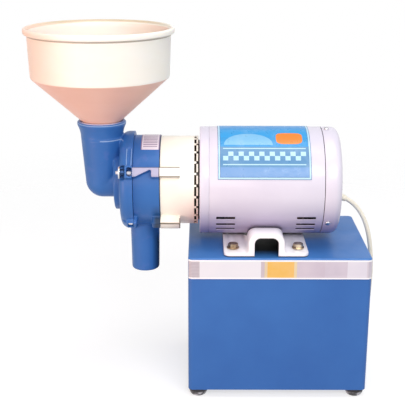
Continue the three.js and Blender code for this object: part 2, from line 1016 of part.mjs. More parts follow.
piece('cooling_fan', makeFan(), fanPlastic, shaftLine);

// Adapter: a hollow ring with four bolt lugs, and windows for the motor's air
function makeAdapter() {
  const bore = adapterRadius - adapterWall;
  const lipX = adapterBack - windowSetback + windowWidth;
  let ring = turnedX([
    [adapterFront, adapterHole],
    [adapterFront, adapterRadius],
    [adapterBack, adapterRadius],
    [adapterBack, adapterRegister],
    [motorFront - fitGap, adapterRegister],
    [motorFront - fitGap, bore - adapterWall / 2],
    [adapterBack - windowSetback - adapterWall, bore],
    [adapterFront + adapterFace, bore],
    [adapterFront + adapterFace, adapterHole],
    [adapterFront, adapterHole],
  ]);
  for (const angle of lugAngles)
    ring = join(ring, lugAt(angle, bore + fitGap, adapterFront, adapterFront + lugLength, lugHalf));
  for (const angle of lugAngles)
    ring = cut(
      ring,
      rodAt(
        angle, boltCircle, adapterFront - overrun, adapterFront + lugLength + overrun,
        adapterScrewRadius + fitGap,
      ),
      rodAt(
        angle, boltCircle,
        adapterFront + lugLength - adapterScrewSink - fitGap,
        adapterFront + lugLength + overrun,
        adapterScrewHead + fitGap,
      ),
    );
  for (let i = 0; i < windowCount; i++) {
    const turn = 360 * i / windowCount;
    const between = 360 * (i + 1 / 2) / windowCount;
    ring = cut(
      ring,
      radialBlock(
        turn, bore - overrun - adapterWall, adapterRadius + overrun, windowHeight,
        lipX - windowWidth, lipX,
      ),
      radialBlock(
        between, adapterRegister + fitGap, adapterRadius + overrun, notchHeight,
        adapterBack - notchDepth, adapterBack + overrun,
      ),
    );
  }
  return ring;
}

// Socket screws sunk in the lugs, from the adapter into the drum
function makeAdapterScrew(angle) {
  const headStart = adapterFront + lugLength - adapterScrewSink;
  return join(
    rodAt(
      angle, boltCircle, adapterFront - adapterScrewGrip, headStart + fitGap, adapterScrewRadius,
    ),
    rodAt(
      angle, boltCircle, headStart, headStart + adapterScrewHeadHeight, adapterScrewHead,
    ),
  );
}

// Drum: chamber, lugs for the cover's studs and for the adapter, and the spout under it
function makeDrum() {
  const innerFace = drumBackFace - drumBack;
  const spoutEnd = -spoutDrop;
  const shell = turnedX([
    [drumBackFace, sealRadius + fitGap],
    [drumBackFace, drumRadius],
    [drumFront, drumRadius],
    [drumFront, drumBore],
    [innerFace, drumBore],
    [innerFace, sealHousingRadius],
    [innerFace - sealHousingLength, sealHousingRadius],
    [innerFace - sealHousingLength, sealRadius - sealLip],
    [innerFace - sealHousingLength + sealLip, sealRadius - sealLip],
    [innerFace - sealHousingLength + sealLip, sealRadius + fitGap],
    [drumBackFace, sealRadius + fitGap],
  ]);
  const pipe = moved(
    turnedZ([
      [0, spoutEnd],
      [spoutRadius, spoutEnd],
      [spoutRootRadius, -flangeRadius],
      [spoutRootRadius, -drumBore],
      [0, -drumBore],
    ], middleSides),
    spoutX, 0, 0,
  );
  const underFlange = rodX(
    flangeFront - overrun, drumFront - fitGap, flangeRadius + 2 * fitGap, roundSides,
  );
  const chamber = rodX(drumFront - fitGap - overrun, innerFace, drumBore, roundSides);
  let drum = join(shell, cut(pipe, underFlange, chamber));
  const clampLug = makeClampLug();
  drum = join(drum, clampLug, clampLug.mirror([0, 1, 0]));
  for (const angle of dowelAngles)
    drum = join(drum, lugAt(angle, drumBore + fitGap, drumFront, drumFront + dowelLug, lugHalf));
  for (const angle of lugAngles)
    drum = join(
      drum, lugAt(angle, drumBore + fitGap, drumBackFace - drumRearLug, drumBackFace, lugHalf),
    );
  drum = cut(drum, moved(rodZ(spoutBore, spoutEnd - overrun, -spoutRoof, middleSides), spoutX, 0, 0));
  const throat = block(
    drumFront + throatInset, spoutX + spoutBore - fitGap,
    -throatHalf, throatHalf,
    -spoutRoof - overrun, -drumBore + 2 * overrun,
  );
  drum = cut(drum, throat);
  for (const angle of lugAngles)
    drum = cut(
      drum,
      rodAt(
        angle, boltCircle, drumBackFace - adapterScrewGrip + fitGap, drumBackFace + overrun,
        adapterScrewRadius + fitGap,
      ),
      rodAt(
        angle, boltCircle, drumFront - overrun, studHoleEnd(angle), studRadius + fitGap,
      ),
    );
  return drum;
}

// The drum's lug for a clamp stud: full at the front, and running out at its upper edge
function makeClampLug() {
  const root = drumBore + fitGap;
  const half = lugHalf - drumLugStep;
  const end = drumFront + drumLugLength;
  const outline = new THREE.Shape();
  outline.moveTo(drumFront, -half);
  outline.lineTo(drumFront + drumLugNose, -half);
  outline.lineTo(end, half - drumLugTail);
  outline.lineTo(end, half);
  outline.lineTo(drumFront, half);
  outline.closePath();
  const geometry = new THREE.ExtrudeGeometry(outline, {
    depth: boltCircle + half - root,
    bevelEnabled: false,
  });
  geometry.rotateX(Math.PI / 2);
  geometry.translate(0, -root, 0);
  geometry.rotateX(-THREE.MathUtils.degToRad(clampAngle));
  return solid(geometry);
}

function studHoleEnd(angle) {
  const grip = clampAngles.includes(angle) ? studGrip : dowelTail;
  return drumFront + grip + fitGap;
}

piece('motor_adapter', makeAdapter(), ivoryPaint, shaftLine);
lugAngles.forEach((angle, i) => {
  piece(`adapter_screw_${i + 1}`, makeAdapterScrew(angle), steel, shaftLine);
});
piece('grinding_drum', makeDrum(), blueEnamel, shaftLine);
piece(
  'shaft_seal',
  turnedX([
    [drumBackFace, shaftFront + runGap],
    [drumBackFace, sealRadius],
    [drumBackFace - sealWidth, sealRadius],
    [drumBackFace - sealWidth, shaftFront + 2 * fitGap],
    [drumBackFace - sealWidth + sealLip, shaftFront + runGap],
    [drumBackFace, shaftFront + runGap],
  ], middleSides),
  rubber,
  shaftLine,
);
piece(
  'cover_gasket',
  ringX(drumFront - fitGap - gasketSheet, drumFront - fitGap, gasketInner, gasketOuter),
  rubber,
  shaftLine,
);

// Feed cover: the flange and dome that hold the fixed stone, the barrel and the upright cup
function makeFeedCover() {
  const domePoints = arc(
    flangeFront, domeEdge, domeReach, 180, 90, domeSteps,
  ).map(([x, r]) => [x, domeEdge + (r - domeEdge) * (flangeRadius - domeEdge) / domeReach]);
  const shellSolid = turnedX([
    [bossFront, 0],
    [bossFront, bossFace - bossFillet],
    [bossFront + bossFillet, bossFace],
    [domeFront, bossFace],
    ...domePoints,
    [coverBack, flangeRadius],
    [coverBack, 0],
  ]);
  const barrel = moved(rodX(0, bossFront - cupX + bossFillet, barrelRadius, middleSides), cupX, 0, 0);
  const elbow = new THREE.SphereGeometry(barrelRadius, middleSides, middleSides / 2);
  elbow.rotateX(Math.PI / 2);
  elbow.translate(cupX, 0, 0);
  const rimFoot = cupHeight - cupRimHeight;
  const collar = rimFoot - cupCollarDrop;
  const taper = (cupTopRadius - cupRootRadius) / rimFoot;
  const cup = moved(
    turnedZ([
      [0, 0],
      [cupRootRadius, 0],
      [cupRootRadius + taper * collar, collar],
      [cupRootRadius + taper * collar + cupCollar, collar],
      [cupTopRadius + cupCollar, rimFoot],
      [cupRimRadius - cupCollar, rimFoot],
      [cupRimRadius, rimFoot + cupRimHeight / 3],
      [cupRimRadius, cupHeight - cupRimHeight / 4],
      [cupRimRadius - cupRimHeight / 4, cupHeight],
      [0, cupHeight],
    ], roundSides),
    cupX, 0, 0,
  );
  let cover = join(shellSolid, barrel, solid(elbow), cup);
  for (const angle of clampAngles)
    cover = join(cover, lugAt(angle, domeEdge, flangeFront, coverBack, flangeEar));
  for (const angle of dowelAngles)
    cover = join(cover, lugAt(angle, domeEdge, flangeFront, coverBack, lugHalf));
  cover = cut(cover, coverHollow());
  for (const angle of lugAngles)
    cover = cut(
      cover,
      radialBlock(
        angle, pocketFloor, boltCircle + flangeEar + overrun, 2 * pocketHalf,
        flangeFront + earPlate, coverBack + overrun,
      ),
      rodAt(angle, boltCircle, flangeFront - overrun, coverBack, studRadius + fitGap),
    );
  for (const angle of clampAngles)
    cover = cut(
      cover,
      radialBlock(
        angle, boltCircle - handNutRadius - runGap, boltCircle + flangeEar + overrun,
        2 * (handNutRadius + runGap), bossFront, flangeFront,
      ),
    );
  return cover;
}

// The passage of the beans: down the cup, along the barrel and into the stone's seat
function coverHollow() {
  const rootBore = cupRootRadius - cupWall;
  const spigotBore = spigotRadius + fitGap + spigotChamfer / 2;
  const seatZ = cupHeight - spigotDrop;
  const down = moved(
    turnedZ([
      [0, 0],
      [rootBore, 0],
      [spigotBore, seatZ],
      [spigotBore, cupHeight - (hopperSeat - spigotBore) - fitGap],
      [hopperSeat, cupHeight],
      [hopperSeat, cupHeight + overrun],
      [0, cupHeight + overrun],
    ], middleSides),
    cupX, 0, 0,
  );
  const elbow = new THREE.SphereGeometry(rootBore, middleSides, middleSides / 2);
  elbow.rotateX(Math.PI / 2);
  elbow.translate(cupX, 0, 0);
  const along = moved(rodX(0, coverBack - cupX, barrelBore, middleSides), cupX, 0, 0);
  const seat = rodX(cavityFloor, coverBack + overrun, stoneRadius + 2 * fitGap, roundSides);
  return join(down, solid(elbow), along, seat);
}

// A grinding stone with leaning furrows and a dished middle that feeds the beans outwards
function makeStone(x0, x1, faceX) {
  const facing = faceX > (x0 + x1) / 2 ? 1 : -1;
  let disc = ringX(x0, x1, stoneEye, stoneRadius, innerSides);
  const dish = turnedX([
    [faceX + facing * overrun, 0],
    [faceX + facing * overrun, stoneDishRadius],
    [faceX, stoneDishRadius],
    [faceX - facing * stoneDish, stoneEye],
    [faceX - facing * stoneDish, 0],
  ], innerSides);
  disc = cut(disc, dish);
  for (let i = 0; i < furrowCount; i++) {
    const furrow = radialBlock(
      0, stoneDishRadius - overrun, stoneRadius + overrun, furrowWidth,
      Math.min(faceX, faceX - facing * furrowDepth), Math.max(faceX, faceX - facing * furrowDepth),
    );
    const [y, z] = onAngle(0, stoneDishRadius);
    const leaning = moved(furrow, 0, -y, -z).rotate([facing * furrowLean, 0, 0]);
    disc = cut(disc, moved(leaning, 0, y, z).rotate([360 * i / furrowCount, 0, 0]));
  }
  return disc;
}

function makeCarrier() {
  const bore = shaftStone + fitGap;
  return turnedX([
    [carrierFront, bore],
    [carrierFront, carrierRadius],
    [carrierFront + carrierPlate, carrierRadius],
    [carrierFront + carrierPlate, carrierHub],
    [carrierBack, carrierHub],
    [carrierBack, bore],
    [carrierFront, bore],
  ], innerSides);
}

// Auger: one blade on a core, twisted as it is extruded, on a hub that screws to the shaft
function makeAuger() {
  const tip = cupX - augerReach;
  const hubStart = cavityFloor;
  const length = hubStart - tip;
  const bladeAngle = Math.asin(augerBlade / 2 / augerCore);
  const outline = new THREE.Shape();
  outline.absarc(0, 0, augerCore, bladeAngle, 2 * Math.PI - bladeAngle);
  outline.lineTo(augerRadius, -augerBlade / 2);
  outline.lineTo(augerRadius, augerBlade / 2);
  outline.closePath();
  const geometry = new THREE.ExtrudeGeometry(outline, {
    depth: length,
    steps: augerSteps,
    bevelEnabled: false,
    curveSegments: 2 * arcSteps,
  });
  const place = geometry.attributes.position;
  const point = new THREE.Vector3();
  const axis = new THREE.Vector3(0, 0, 1);
  for (let i = 0; i < place.count; i++) {
    point.fromBufferAttribute(place, i);
    point.applyAxisAngle(axis, 2 * Math.PI * augerTurns * point.z / length);
    place.setXYZ(i, point.x, point.y, point.z);
  }
  geometry.rotateY(Math.PI / 2);
  geometry.translate(tip, 0, 0);
  const hub = rodX(hubStart - fitGap, carrierFront - fitGap, augerHub);
  const bore = rodX(
    carrierFront - noseGrip - fitGap, carrierFront, shaftNose + fitGap, middleSides,
  );
  return cut(join(solid(geometry), hub), bore);
}

piece('feed_cover', makeFeedCover(), blueEnamel, shaftLine);
piece(
  'fixed_stone',
  makeStone(fixedStoneBack - stoneThickness, fixedStoneBack, fixedStoneBack),
  stone,
  shaftLine,
);
piece(
  'running_stone',
  makeStone(runningStoneFront, runningStoneBack, runningStoneFront),
  stone,
  shaftLine,
);
piece('stone_carrier', makeCarrier(), steel, shaftLine);
piece('feed_auger', makeAuger(), steel, shaftLine);

// Clamps: studs from the drum, hand nuts in front of the cover's ears, adjusters behind them

function makeHandNut(angle) {
  const face = flangeFront - fitGap;
  const rimBack = face - handNutHubLength;
  const tip = rimBack - handNutRim;
  let nut = join(
    rodX(tip, rimBack, handNutRadius, middleSides),
    rodX(tip + handNutRim / 2, face, handNutHub),
  );
  for (let i = 0; i < handNutGrips; i++) {
    const [y, z] = onAngle(360 * i / handNutGrips, handNutRadius + handNutScallopSink);
    const groove = rodX(tip - overrun, rimBack + overrun, handNutScallop, hexSides);
    nut = cut(nut, moved(groove, 0, y, z));
  }
  nut = cut(nut, rodX(tip - overrun, face + overrun, studRadius + fitGap));
  const [y, z] = onAngle(angle, boltCircle);
  return moved(nut, 0, y, z);
}

function makeAdjuster(angle) {
  const x0 = flangeFront + earPlate + fitGap;
  const nut = cut(
    rodX(x0, x0 + adjusterWidth, adjusterRadius, hexSides),
    rodX(x0 - overrun, x0 + adjusterWidth + overrun, studRadius + fitGap),
  );
  const [y, z] = onAngle(angle, boltCircle);
  return moved(nut, 0, y, z);
}

lugAngles.forEach((angle, i) => {
  piece(`adjusting_nut_${i + 1}`, makeAdjuster(angle), chrome, shaftLine);
});
clampAngles.forEach((angle, i) => {
  const stubEnd = flangeFront - fitGap - handNutRim - handNutHubLength - studStub;
  piece(
    `clamp_stud_${i + 1}`,
    rodAt(angle, boltCircle, stubEnd, drumFront + studGrip, studRadius),
    chrome,
    shaftLine,
  );
  piece(`hand_nut_${i + 1}`, makeHandNut(angle), chrome, shaftLine);
});
dowelAngles.forEach((angle, i) => {
  piece(
    `cover_dowel_${i + 1}`,
    rodAt(angle, boltCircle, flangeFront + fitGap, drumFront + dowelTail, studRadius),
    chrome,
    shaftLine,
  );
});

// Hopper: rolled rim, slightly tapered wall, cone and a spigot in the cup
function makeHopper() {
  const seatZ = cupHeight;
  const top = seatZ + hopperHeight;
  const wallFoot = top - hopperWallHeight - hopperBead;
  const beadFoot = top - hopperBead;
  const slope = (wallFoot - seatZ) / (hopperWallFoot - hopperSeat);
  const gap = 2 * fitGap;
  const spigotTop = seatZ - (hopperSeat - spigotRadius) * slope + gap;
  const spigotEnd = seatZ - spigotDrop + gap;
  const drop = hopperSheet * Math.hypot(1, slope);
  return turnedZ([
    [spigotRadius, spigotEnd + spigotChamfer],
    [spigotRadius, spigotTop],
    [hopperWallFoot - hopperConeRound, wallFoot - hopperConeRound * slope + gap],
    [hopperWallFoot, wallFoot + hopperConeRound],
    [hopperWallTop, beadFoot],
    [hopperRim - hopperBeadRound, beadFoot],
    [hopperRim, beadFoot + hopperBeadRound],
    [hopperRim, top - hopperBeadRound],
    [hopperRim - hopperBeadRound / 2, top - hopperBeadRound / 4],
    [hopperMouth, top],
    [hopperWallTop - hopperSheet, top - hopperBead / 2],
    [hopperWallFoot - hopperSheet, wallFoot + hopperConeRound],
    [hopperWallFoot - hopperConeRound, wallFoot - hopperConeRound * slope + gap + drop],
    [spigotRadius - hopperSheet, spigotTop + drop - hopperSheet * slope],
    [spigotRadius - hopperSheet, spigotEnd],
    [spigotRadius - spigotChamfer / 2, spigotEnd],
    [spigotRadius, spigotEnd + spigotChamfer],
  ]);
}

piece('hopper', moved(makeHopper(), cupX, 0, 0), ivoryPlastic, shaftLine);

// Mains lead

// The gland is tilted down in the plane of X and Z
function glandDirection() {
  const tilt = THREE.MathUtils.degToRad(glandTilt);
  return new THREE.Vector3(Math.cos(tilt), 0, -Math.sin(tilt));
}

function glandSeat() {
  return new THREE.Vector3(capEnd + fitGap, glandY, shaftHeight - glandDrop);
}

function makeGland() {
  const seat = glandSeat();
  const sleeve = turnedX([
    [0, 0],
    [0, glandRoot],
    [glandLength, glandTip],
    [glandLength, 0],
  ], smallSides).rotate([0, glandTilt, 0]);
  const behind = block(-glandLength, 0, -glandLength, glandLength, -glandLength, glandLength);
  const base = rodX(0, glandBaseLength, glandBase);
  return moved(cut(join(sleeve, base), behind), seat.x, seat.y, seat.z);
}

function roundSection(radius, sides) {
  const section = new THREE.Shape();
  for (let i = 0; i < sides; i++) {
    const turn = 2 * Math.PI * i / sides;
    const [a, b] = [radius * Math.cos(turn), radius * Math.sin(turn)];
    if (i === 0) section.moveTo(a, b);
    else section.lineTo(a, b);
  }
  section.closePath();
  return section;
}

function tubeAlong(path, radius, sides, steps) {
  return solid(new THREE.ExtrudeGeometry(roundSection(radius, sides), {
    extrudePath: path,
    steps,
    bevelEnabled: false,
  }));
}

function leadPath() {
  const direction = glandDirection();
  const start = glandSeat().addScaledVector(direction, glandLength + fitGap);
  const end = new THREE.Vector3(coilX + coilOuter, coilY - coilLead - fitGap, lowerLayer);
  const points = [
    start,
    start.clone().addScaledVector(direction, fitGap),
    ...leadRoute.map(([x, y, z]) => new THREE.Vector3(x, y, z)),
    end.clone().setY(end.y - cordRadius),
    end,
  ];
  const path = new THREE.CatmullRomCurve3(points, false, 'centripetal');
  path.arcLengthDivisions = leadDivisions;
  return path;
}

// Two layers: inwards on the floor, up a layer in half a turn, and outwards again
class CoilPath extends THREE.Curve {
  getPoint(share, target = new THREE.Vector3()) {
    const turns = 2 * turnsPerLayer;
    const wound = 2 * Math.PI * coilMiddle * turns;
    const along = share * (coilLead + wound + coilTail);
    const x = coilX + coilOuter;
    if (along < coilLead) return target.set(x, coilY - coilLead + along, lowerLayer);
    if (along > coilLead + wound)
      return target.set(x, coilY + along - coilLead - wound, upperLayer);
    const turn = (along - coilLead) / wound * turns;
    const radius = coilOuter + turnPitch * (Math.abs(turn - turnsPerLayer) - turnsPerLayer);
    const climb = THREE.MathUtils.smoothstep(turn, turnsPerLayer - 1 / 4, turnsPerLayer + 1 / 4);
    const angle = 2 * Math.PI * turn;
    return target.set(
      coilX + radius * Math.cos(angle),
      coilY + radius * Math.sin(angle),
      lowerLayer + climb * turnPitch,
    );
  }
}

// The least clearance between stretches of the cord that aren't neighbours along it
function leastSelfGap(path, samples) {
  const length = path.getLength();
  const points = path.getSpacedPoints(samples);
  const apart = Math.ceil(samples * Math.PI * coilMiddle / length);
  let least = Infinity;
  for (let i = 0; i < points.length; i++)
    for (let j = i + apart; j < points.length; j++)
      least = Math.min(least, points[i].distanceTo(points[j]));
  return least - cordDiameter;
}

// A flat tie round all the turns, on the side of the coil away from the stand
function makeTie() {
  const half = turnPitch * (turnsPerLayer - 1 / 2) / 2 + cordRadius + tieGap;
  const [bottom, top] = [fitGap + tieSheet, upperLayer + cordRadius + fitGap];
  const height = top - bottom;
  const band = (outset) => {
    const outline = roundedRectangle(
      2 * (half + outset), height + 2 * outset, tieCorner + outset,
    );
    const geometry = new THREE.ExtrudeGeometry(outline, {
      depth: tieWidth + (outset ? 0 : 2 * overrun),
      bevelEnabled: false,
      curveSegments: arcSteps / 2,
    });
    geometry.rotateZ(Math.PI / 2);
    geometry.rotateY(Math.PI / 2);
    geometry.translate(
      coilX - tieWidth / 2 - (outset ? 0 : overrun), coilY + coilMiddle, (bottom + top) / 2,
    );
    return solid(geometry);
  };
  return cut(band(tieSheet), band(0));
}

// A round plug with two pins, lying at the end of the coil
function makePlug() {
  const start = coilY + coilTail + fitGap;
  const full = plugNeckLength + plugBody;
  const body = turnedX([
    [0, 0],
    [0, plugNeck],
    [plugNeckLength, plugNeck + cordRadius / 2],
    [plugNeckLength + cordRadius, plugRadius],
    [full - cordRadius, plugRadius],
    [full, plugFace + cordRadius / 2],
    [full, 0],
  ], smallSides);
  const pins = [-1, 1].map((side) => moved(
    rodX(full - overrun, full + pinLength, pinRadius, smallSides / 2),
    0, side * pinSpan / 2, 0,
  ));
  const plug = join(body, ...pins).rotate([0, 0, 90]);
  return moved(plug, coilX + coilOuter, start, upperLayer);
}

const lead = leadPath();
const coil = new CoilPath();
coil.arcLengthDivisions = coilDivisions;
const coilSteps = Math.round(coilStepsPerTurn * coil.getLength() / (2 * Math.PI * coilMiddle));
piece('cord_gland', makeGland(), cordPlastic);
piece('cord_lead', tubeAlong(lead, cordRadius, cordSides, leadSteps), cordPlastic);
piece('cord_coil', tubeAlong(coil, cordRadius, coilSides, coilSteps), cordPlastic);
piece('cord_tie', makeTie(), rubber);
piece('mains_plug', makePlug(), cordPlastic);
console.log(
  `cord: lead ${lead.getLength().toFixed(0)} mm, coil ${coil.getLength().toFixed(0)} mm,`,
  `least gap of the coil to itself ${leastSelfGap(coil, coilSteps * 4).toFixed(2)} mm`,
);

root.position.x = -(hopperLeft + standWidth) / 2;

export default root;
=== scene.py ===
# %% [markdown]
# # An electric soybean grinder
# A cream hopper drops soaked beans into a blue cast cup. An auger pushes them between two stones,
# and a grey motor on a blue steel box turns the stones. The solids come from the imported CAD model,
# which gives every place and size. This file gives the looks: smooth pieces, paint, plastic, print
# and plated steel. Everything is in metres, +Z up, and the printed front faces -Y.

# %% Load the frame
import math
import bmesh
import bpy
from mathutils import Matrix, Vector


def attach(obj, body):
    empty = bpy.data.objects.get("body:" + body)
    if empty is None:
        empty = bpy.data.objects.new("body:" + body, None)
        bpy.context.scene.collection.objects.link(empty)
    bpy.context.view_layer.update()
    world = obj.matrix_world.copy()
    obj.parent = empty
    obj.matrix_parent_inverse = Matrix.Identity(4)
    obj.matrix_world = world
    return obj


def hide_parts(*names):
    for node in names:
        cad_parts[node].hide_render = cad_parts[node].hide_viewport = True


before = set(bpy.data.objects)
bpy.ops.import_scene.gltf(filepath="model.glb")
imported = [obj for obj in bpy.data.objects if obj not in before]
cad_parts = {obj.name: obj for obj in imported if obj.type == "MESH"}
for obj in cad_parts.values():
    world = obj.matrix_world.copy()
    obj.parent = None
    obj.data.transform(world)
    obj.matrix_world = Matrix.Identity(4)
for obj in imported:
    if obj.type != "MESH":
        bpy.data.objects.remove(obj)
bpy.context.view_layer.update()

# %% [markdown]
# ## One way to write places
# The CAD source counts X from the left side of the stand, in millimetres. Writing the places here
# in the same numbers makes them easy to compare, so one small function turns them into metres in
# the frame. The shaft lies 311 mm above the table.

# %% Places
STAND_LEFT = -13.75
SHAFT = 311.0
CUP = -128.7
BOLT_CIRCLE = 72.0


def at(x, y, z):
    return Vector((x + STAND_LEFT, y, z)) / 1000


def on_lug(angle, radius=BOLT_CIRCLE):
    """A place at an angle round the shaft, counted upwards from the front."""
    turn = math.radians(angle)
    return at(0, -radius * math.cos(turn), SHAFT + radius * math.sin(turn))


SHAFT_LINE = at(0, 0, SHAFT)
CUP_AXIS = at(CUP, 0, SHAFT)
print("shaft line starts at", SHAFT_LINE[:])

# %% [markdown]
# ## Small tools for materials
# A real finish is never one flat colour: paint varies in thickness, plastic has flow marks, and
# metal keeps fine turning lines. Each material below mixes a few noises on Object coordinates, so
# that the pattern stays on the piece in every view. Masks and patterns are sums over many Math
# nodes. They are easier to read as arithmetic, so a small class stands for the number that a node
# works out, and each sign adds one node.

# %% Numbers from nodes
class Value:
    """A number that nodes work out. & means both, | means either."""

    def __init__(self, nodes, socket):
        self.nodes, self.socket = nodes, socket

    def __add__(self, other):
        return self.nodes.math("ADD", self, other)

    def __sub__(self, other):
        return self.nodes.math("SUBTRACT", self, other)

    def __mul__(self, other):
        return self.nodes.math("MULTIPLY", self, other)

    def __truediv__(self, other):
        return self.nodes.math("DIVIDE", self, other)

    def __mod__(self, other):
        return self.nodes.math("MODULO", self, other)

    def __pow__(self, other):
        return self.nodes.math("POWER", self, other)

    def __abs__(self):
        return self.nodes.math("ABSOLUTE", self)

    def __gt__(self, other):
        return self.nodes.math("GREATER_THAN", self, other)

    def __lt__(self, other):
        return self.nodes.math("LESS_THAN", self, other)

    def __and__(self, other):
        return self.nodes.math("MULTIPLY", self, other)

    def __or__(self, other):
        return self.nodes.math("MAXIMUM", self, other)

    def between(self, low, high):
        return (self > low) & (self < high)


def length(first, second):
    return first.nodes.math("SQRT", first * first + second * second)


def linear(red, green, blue):
    """The linear colour of 8-bit screen values."""
    return (*(((v / 255 + 0.055) / 1.055) ** 2.4 if v > 10 else v / 255 / 12.92
              for v in (red, green, blue)), 1)


print("a blue like the stand's:", [round(v, 3) for v in linear(65, 112, 185)])

# %% Material helpers
class Nodes:
    """A node tree, and short ways to add nodes to it."""

    def __init__(self, tree):
        self.tree = tree

    def feed(self, socket, value):
        """Give a socket a number or colour, or link it to a node."""
        if isinstance(value, Value):
            value = value.socket
        if isinstance(value, bpy.types.NodeSocket):
            self.tree.links.new(value, socket)
        else:
            socket.default_value = value

    def node(self, kind, inputs=None, **settings):
        made = self.tree.nodes.new("ShaderNode" + kind)
        for name, value in settings.items():
            setattr(made, name, value)
        for name, value in (inputs or {}).items():
            self.feed(made.inputs[name], value)
        return made

    def math(self, operation, first, second=0.0):
        made = self.node("Math", {0: first, 1: second}, operation=operation)
        return Value(self, made.outputs[0])

    def span(self, value, low, high, out_low=0.0, out_high=1.0):
        """Stretch the range from low to high to a new one, and stop at its ends."""
        made = self.node("MapRange", {"Value": value, "From Min": low, "From Max": high,
                                      "To Min": out_low, "To Max": out_high})
        return Value(self, made.outputs["Result"])

    def seen(self):
        """1 where the camera or a reflection looks, and 0 for all other light."""
        rays = self.node("LightPath").outputs
        return self.math("MAXIMUM", rays["Is Camera Ray"], rays["Is Glossy Ray"])


class Finish(Nodes):
    """A material with its shader. Colours are tuples of 8-bit screen values."""

    def __init__(self, name, roughness, metallic=0.0):
        self.material = bpy.data.materials.new(name)
        self.material.use_nodes = True
        super().__init__(self.material.node_tree)
        self.shader = self.tree.nodes["Principled BSDF"]
        self.set(Roughness=roughness, Metallic=metallic)
        self.place = self.node("TexCoord").outputs["Object"]

    def set(self, **values):
        """Feed the shader's sockets; an underscore stands for a space."""
        for name, value in values.items():
            self.feed(self.shader.inputs[name.replace("_", " ")], value)

    def noise(self, scale, detail=3.0, stretch=(1, 1, 1)):
        mapping = self.node("Mapping", {"Vector": self.place, "Scale": stretch})
        made = self.node("TexNoise", {"Vector": mapping.outputs[0], "Scale": scale,
                                      "Detail": detail, "Roughness": 0.55})
        return Value(self, made.outputs["Fac"])

    def blend(self, factor, first, second):
        """The first colour at a factor of 0, the second one at 1."""
        first, second = (linear(*c) if isinstance(c, tuple) else c for c in (first, second))
        return self.node("Mix", {0: factor, 6: first, 7: second}, data_type="RGBA").outputs[2]

    def mottle(self, scale, detail, first, second, low=0.35, high=0.7, stretch=(1, 1, 1)):
        """Two colours that wander into each other."""
        return self.blend(self.span(self.noise(scale, detail, stretch), low, high), first, second)

    def panels(self, value, stops):
        """Flat fields of colour side by side, each from its place on, with places from 0 to 1."""
        ramp = self.node("ValToRGB", {0: value})
        ramp.color_ramp.interpolation = "CONSTANT"
        elements = ramp.color_ramp.elements
        while len(elements) < len(stops):
            elements.new(1.0)
        for element, (place, colour) in zip(elements, stops):
            element.position = place
            element.color = linear(*colour)
        return ramp.outputs[0]

    def places(self):
        """X, Y and Z of a point in millimetres, in the numbers of the CAD source."""
        x, y, z = (Value(self, socket) * 1000
                   for socket in self.node("SeparateXYZ", {0: self.place}).outputs)
        return x - STAND_LEFT, y, z

    def reach(self):
        """How far a point is from the shaft line."""
        _, y, z = self.places()
        return length(y, z - SHAFT)

    def along_lug(self, angle):
        """The distance out along a lug and up across it, the same for the front and the rear."""
        _, y, z = self.places()
        depth, height = abs(y), z - SHAFT
        cosine, sine = math.cos(math.radians(angle)), math.sin(math.radians(angle))
        return depth * cosine + height * sine, height * cosine - depth * sine

    def relief(self, height, strength, depth):
        bump = self.node("Bump", {"Strength": strength, "Distance": depth, "Height": height})
        self.set(Normal=bump.outputs[0])

    def done(self, colour, gloss=None, grain=None):
        """Set the colour, let the gloss wander, press in a grain and return the material."""
        self.set(Base_Color=colour)
        if gloss:
            scale, detail, low, high, *top = gloss
            wander = self.span(self.noise(scale, detail), 0.3, *(top or [0.7]), low, high)
            self.set(Roughness=wander)
        if grain:
            scale, detail, strength, depth, *stretch = grain
            self.relief(self.noise(scale, detail, *stretch), strength, depth)
        return self.material


print("the tools for materials are ready")

# %% [markdown]
# ## The camera
# The camera was fitted to the straight edges of the stand, the hopper's rim and the motor in the
# photograph. It stands 1.34 m in front of the machine, a little higher than the hopper, and looks
# 17 degrees down. Its lens and place are set before anything is modelled, because every comparison
# with the photograph depends on them.

# %% Camera
lens = bpy.data.cameras.new("camera")
lens.sensor_width = 36.0
lens.lens = 82.14
camera = bpy.data.objects.new("camera", lens)
bpy.context.scene.collection.objects.link(camera)
camera.location = (0.00585, -1.3410, 0.6854)
camera.rotation_euler = (math.radians(90 - 17.028), math.radians(-0.135), 0)
bpy.context.scene.camera = camera
print("camera at", camera.location[:])

# %% [markdown]
# ## Floor and light
# The photograph has a plain white ground and soft, even light from the front and above, with a
# warm light from the left. A pale floor catches the shadow and fades out far from the machine. The
# world is white only where the camera or a reflection looks at it, and dim as a lamp, so that the
# colours stay as they are written.

# %% Floor and light
def backdrop_material():
    finish = Finish("pale_floor", 0.9)
    finish.set(Base_Color=(0.5, 0.5, 0.51, 1))
    glow = finish.node("Emission", {"Color": (1, 1, 1, 1), "Strength": finish.seen() * 0.62})
    lit = finish.node("AddShader", {0: finish.shader.outputs[0], 1: glow.outputs[0]})
    reach = finish.node("VectorMath", {0: finish.place}, operation="LENGTH")
    clear = finish.node("BsdfTransparent")
    faded = finish.node("MixShader", {0: finish.span(reach.outputs["Value"], 0.55, 1.5),
                                      1: lit.outputs[0], 2: clear.outputs[0]})
    finish.feed(finish.tree.nodes["Material Output"].inputs["Surface"], faded.outputs[0])
    return finish.material


def add_floor():
    bm = bmesh.new()
    bmesh.ops.create_grid(bm, x_segments=1, y_segments=1, size=2)
    mesh = bpy.data.meshes.new("floor")
    bm.to_mesh(mesh)
    bm.free()
    floor = bpy.data.objects.new("floor", mesh)
    bpy.context.scene.collection.objects.link(floor)
    mesh.materials.append(backdrop_material())


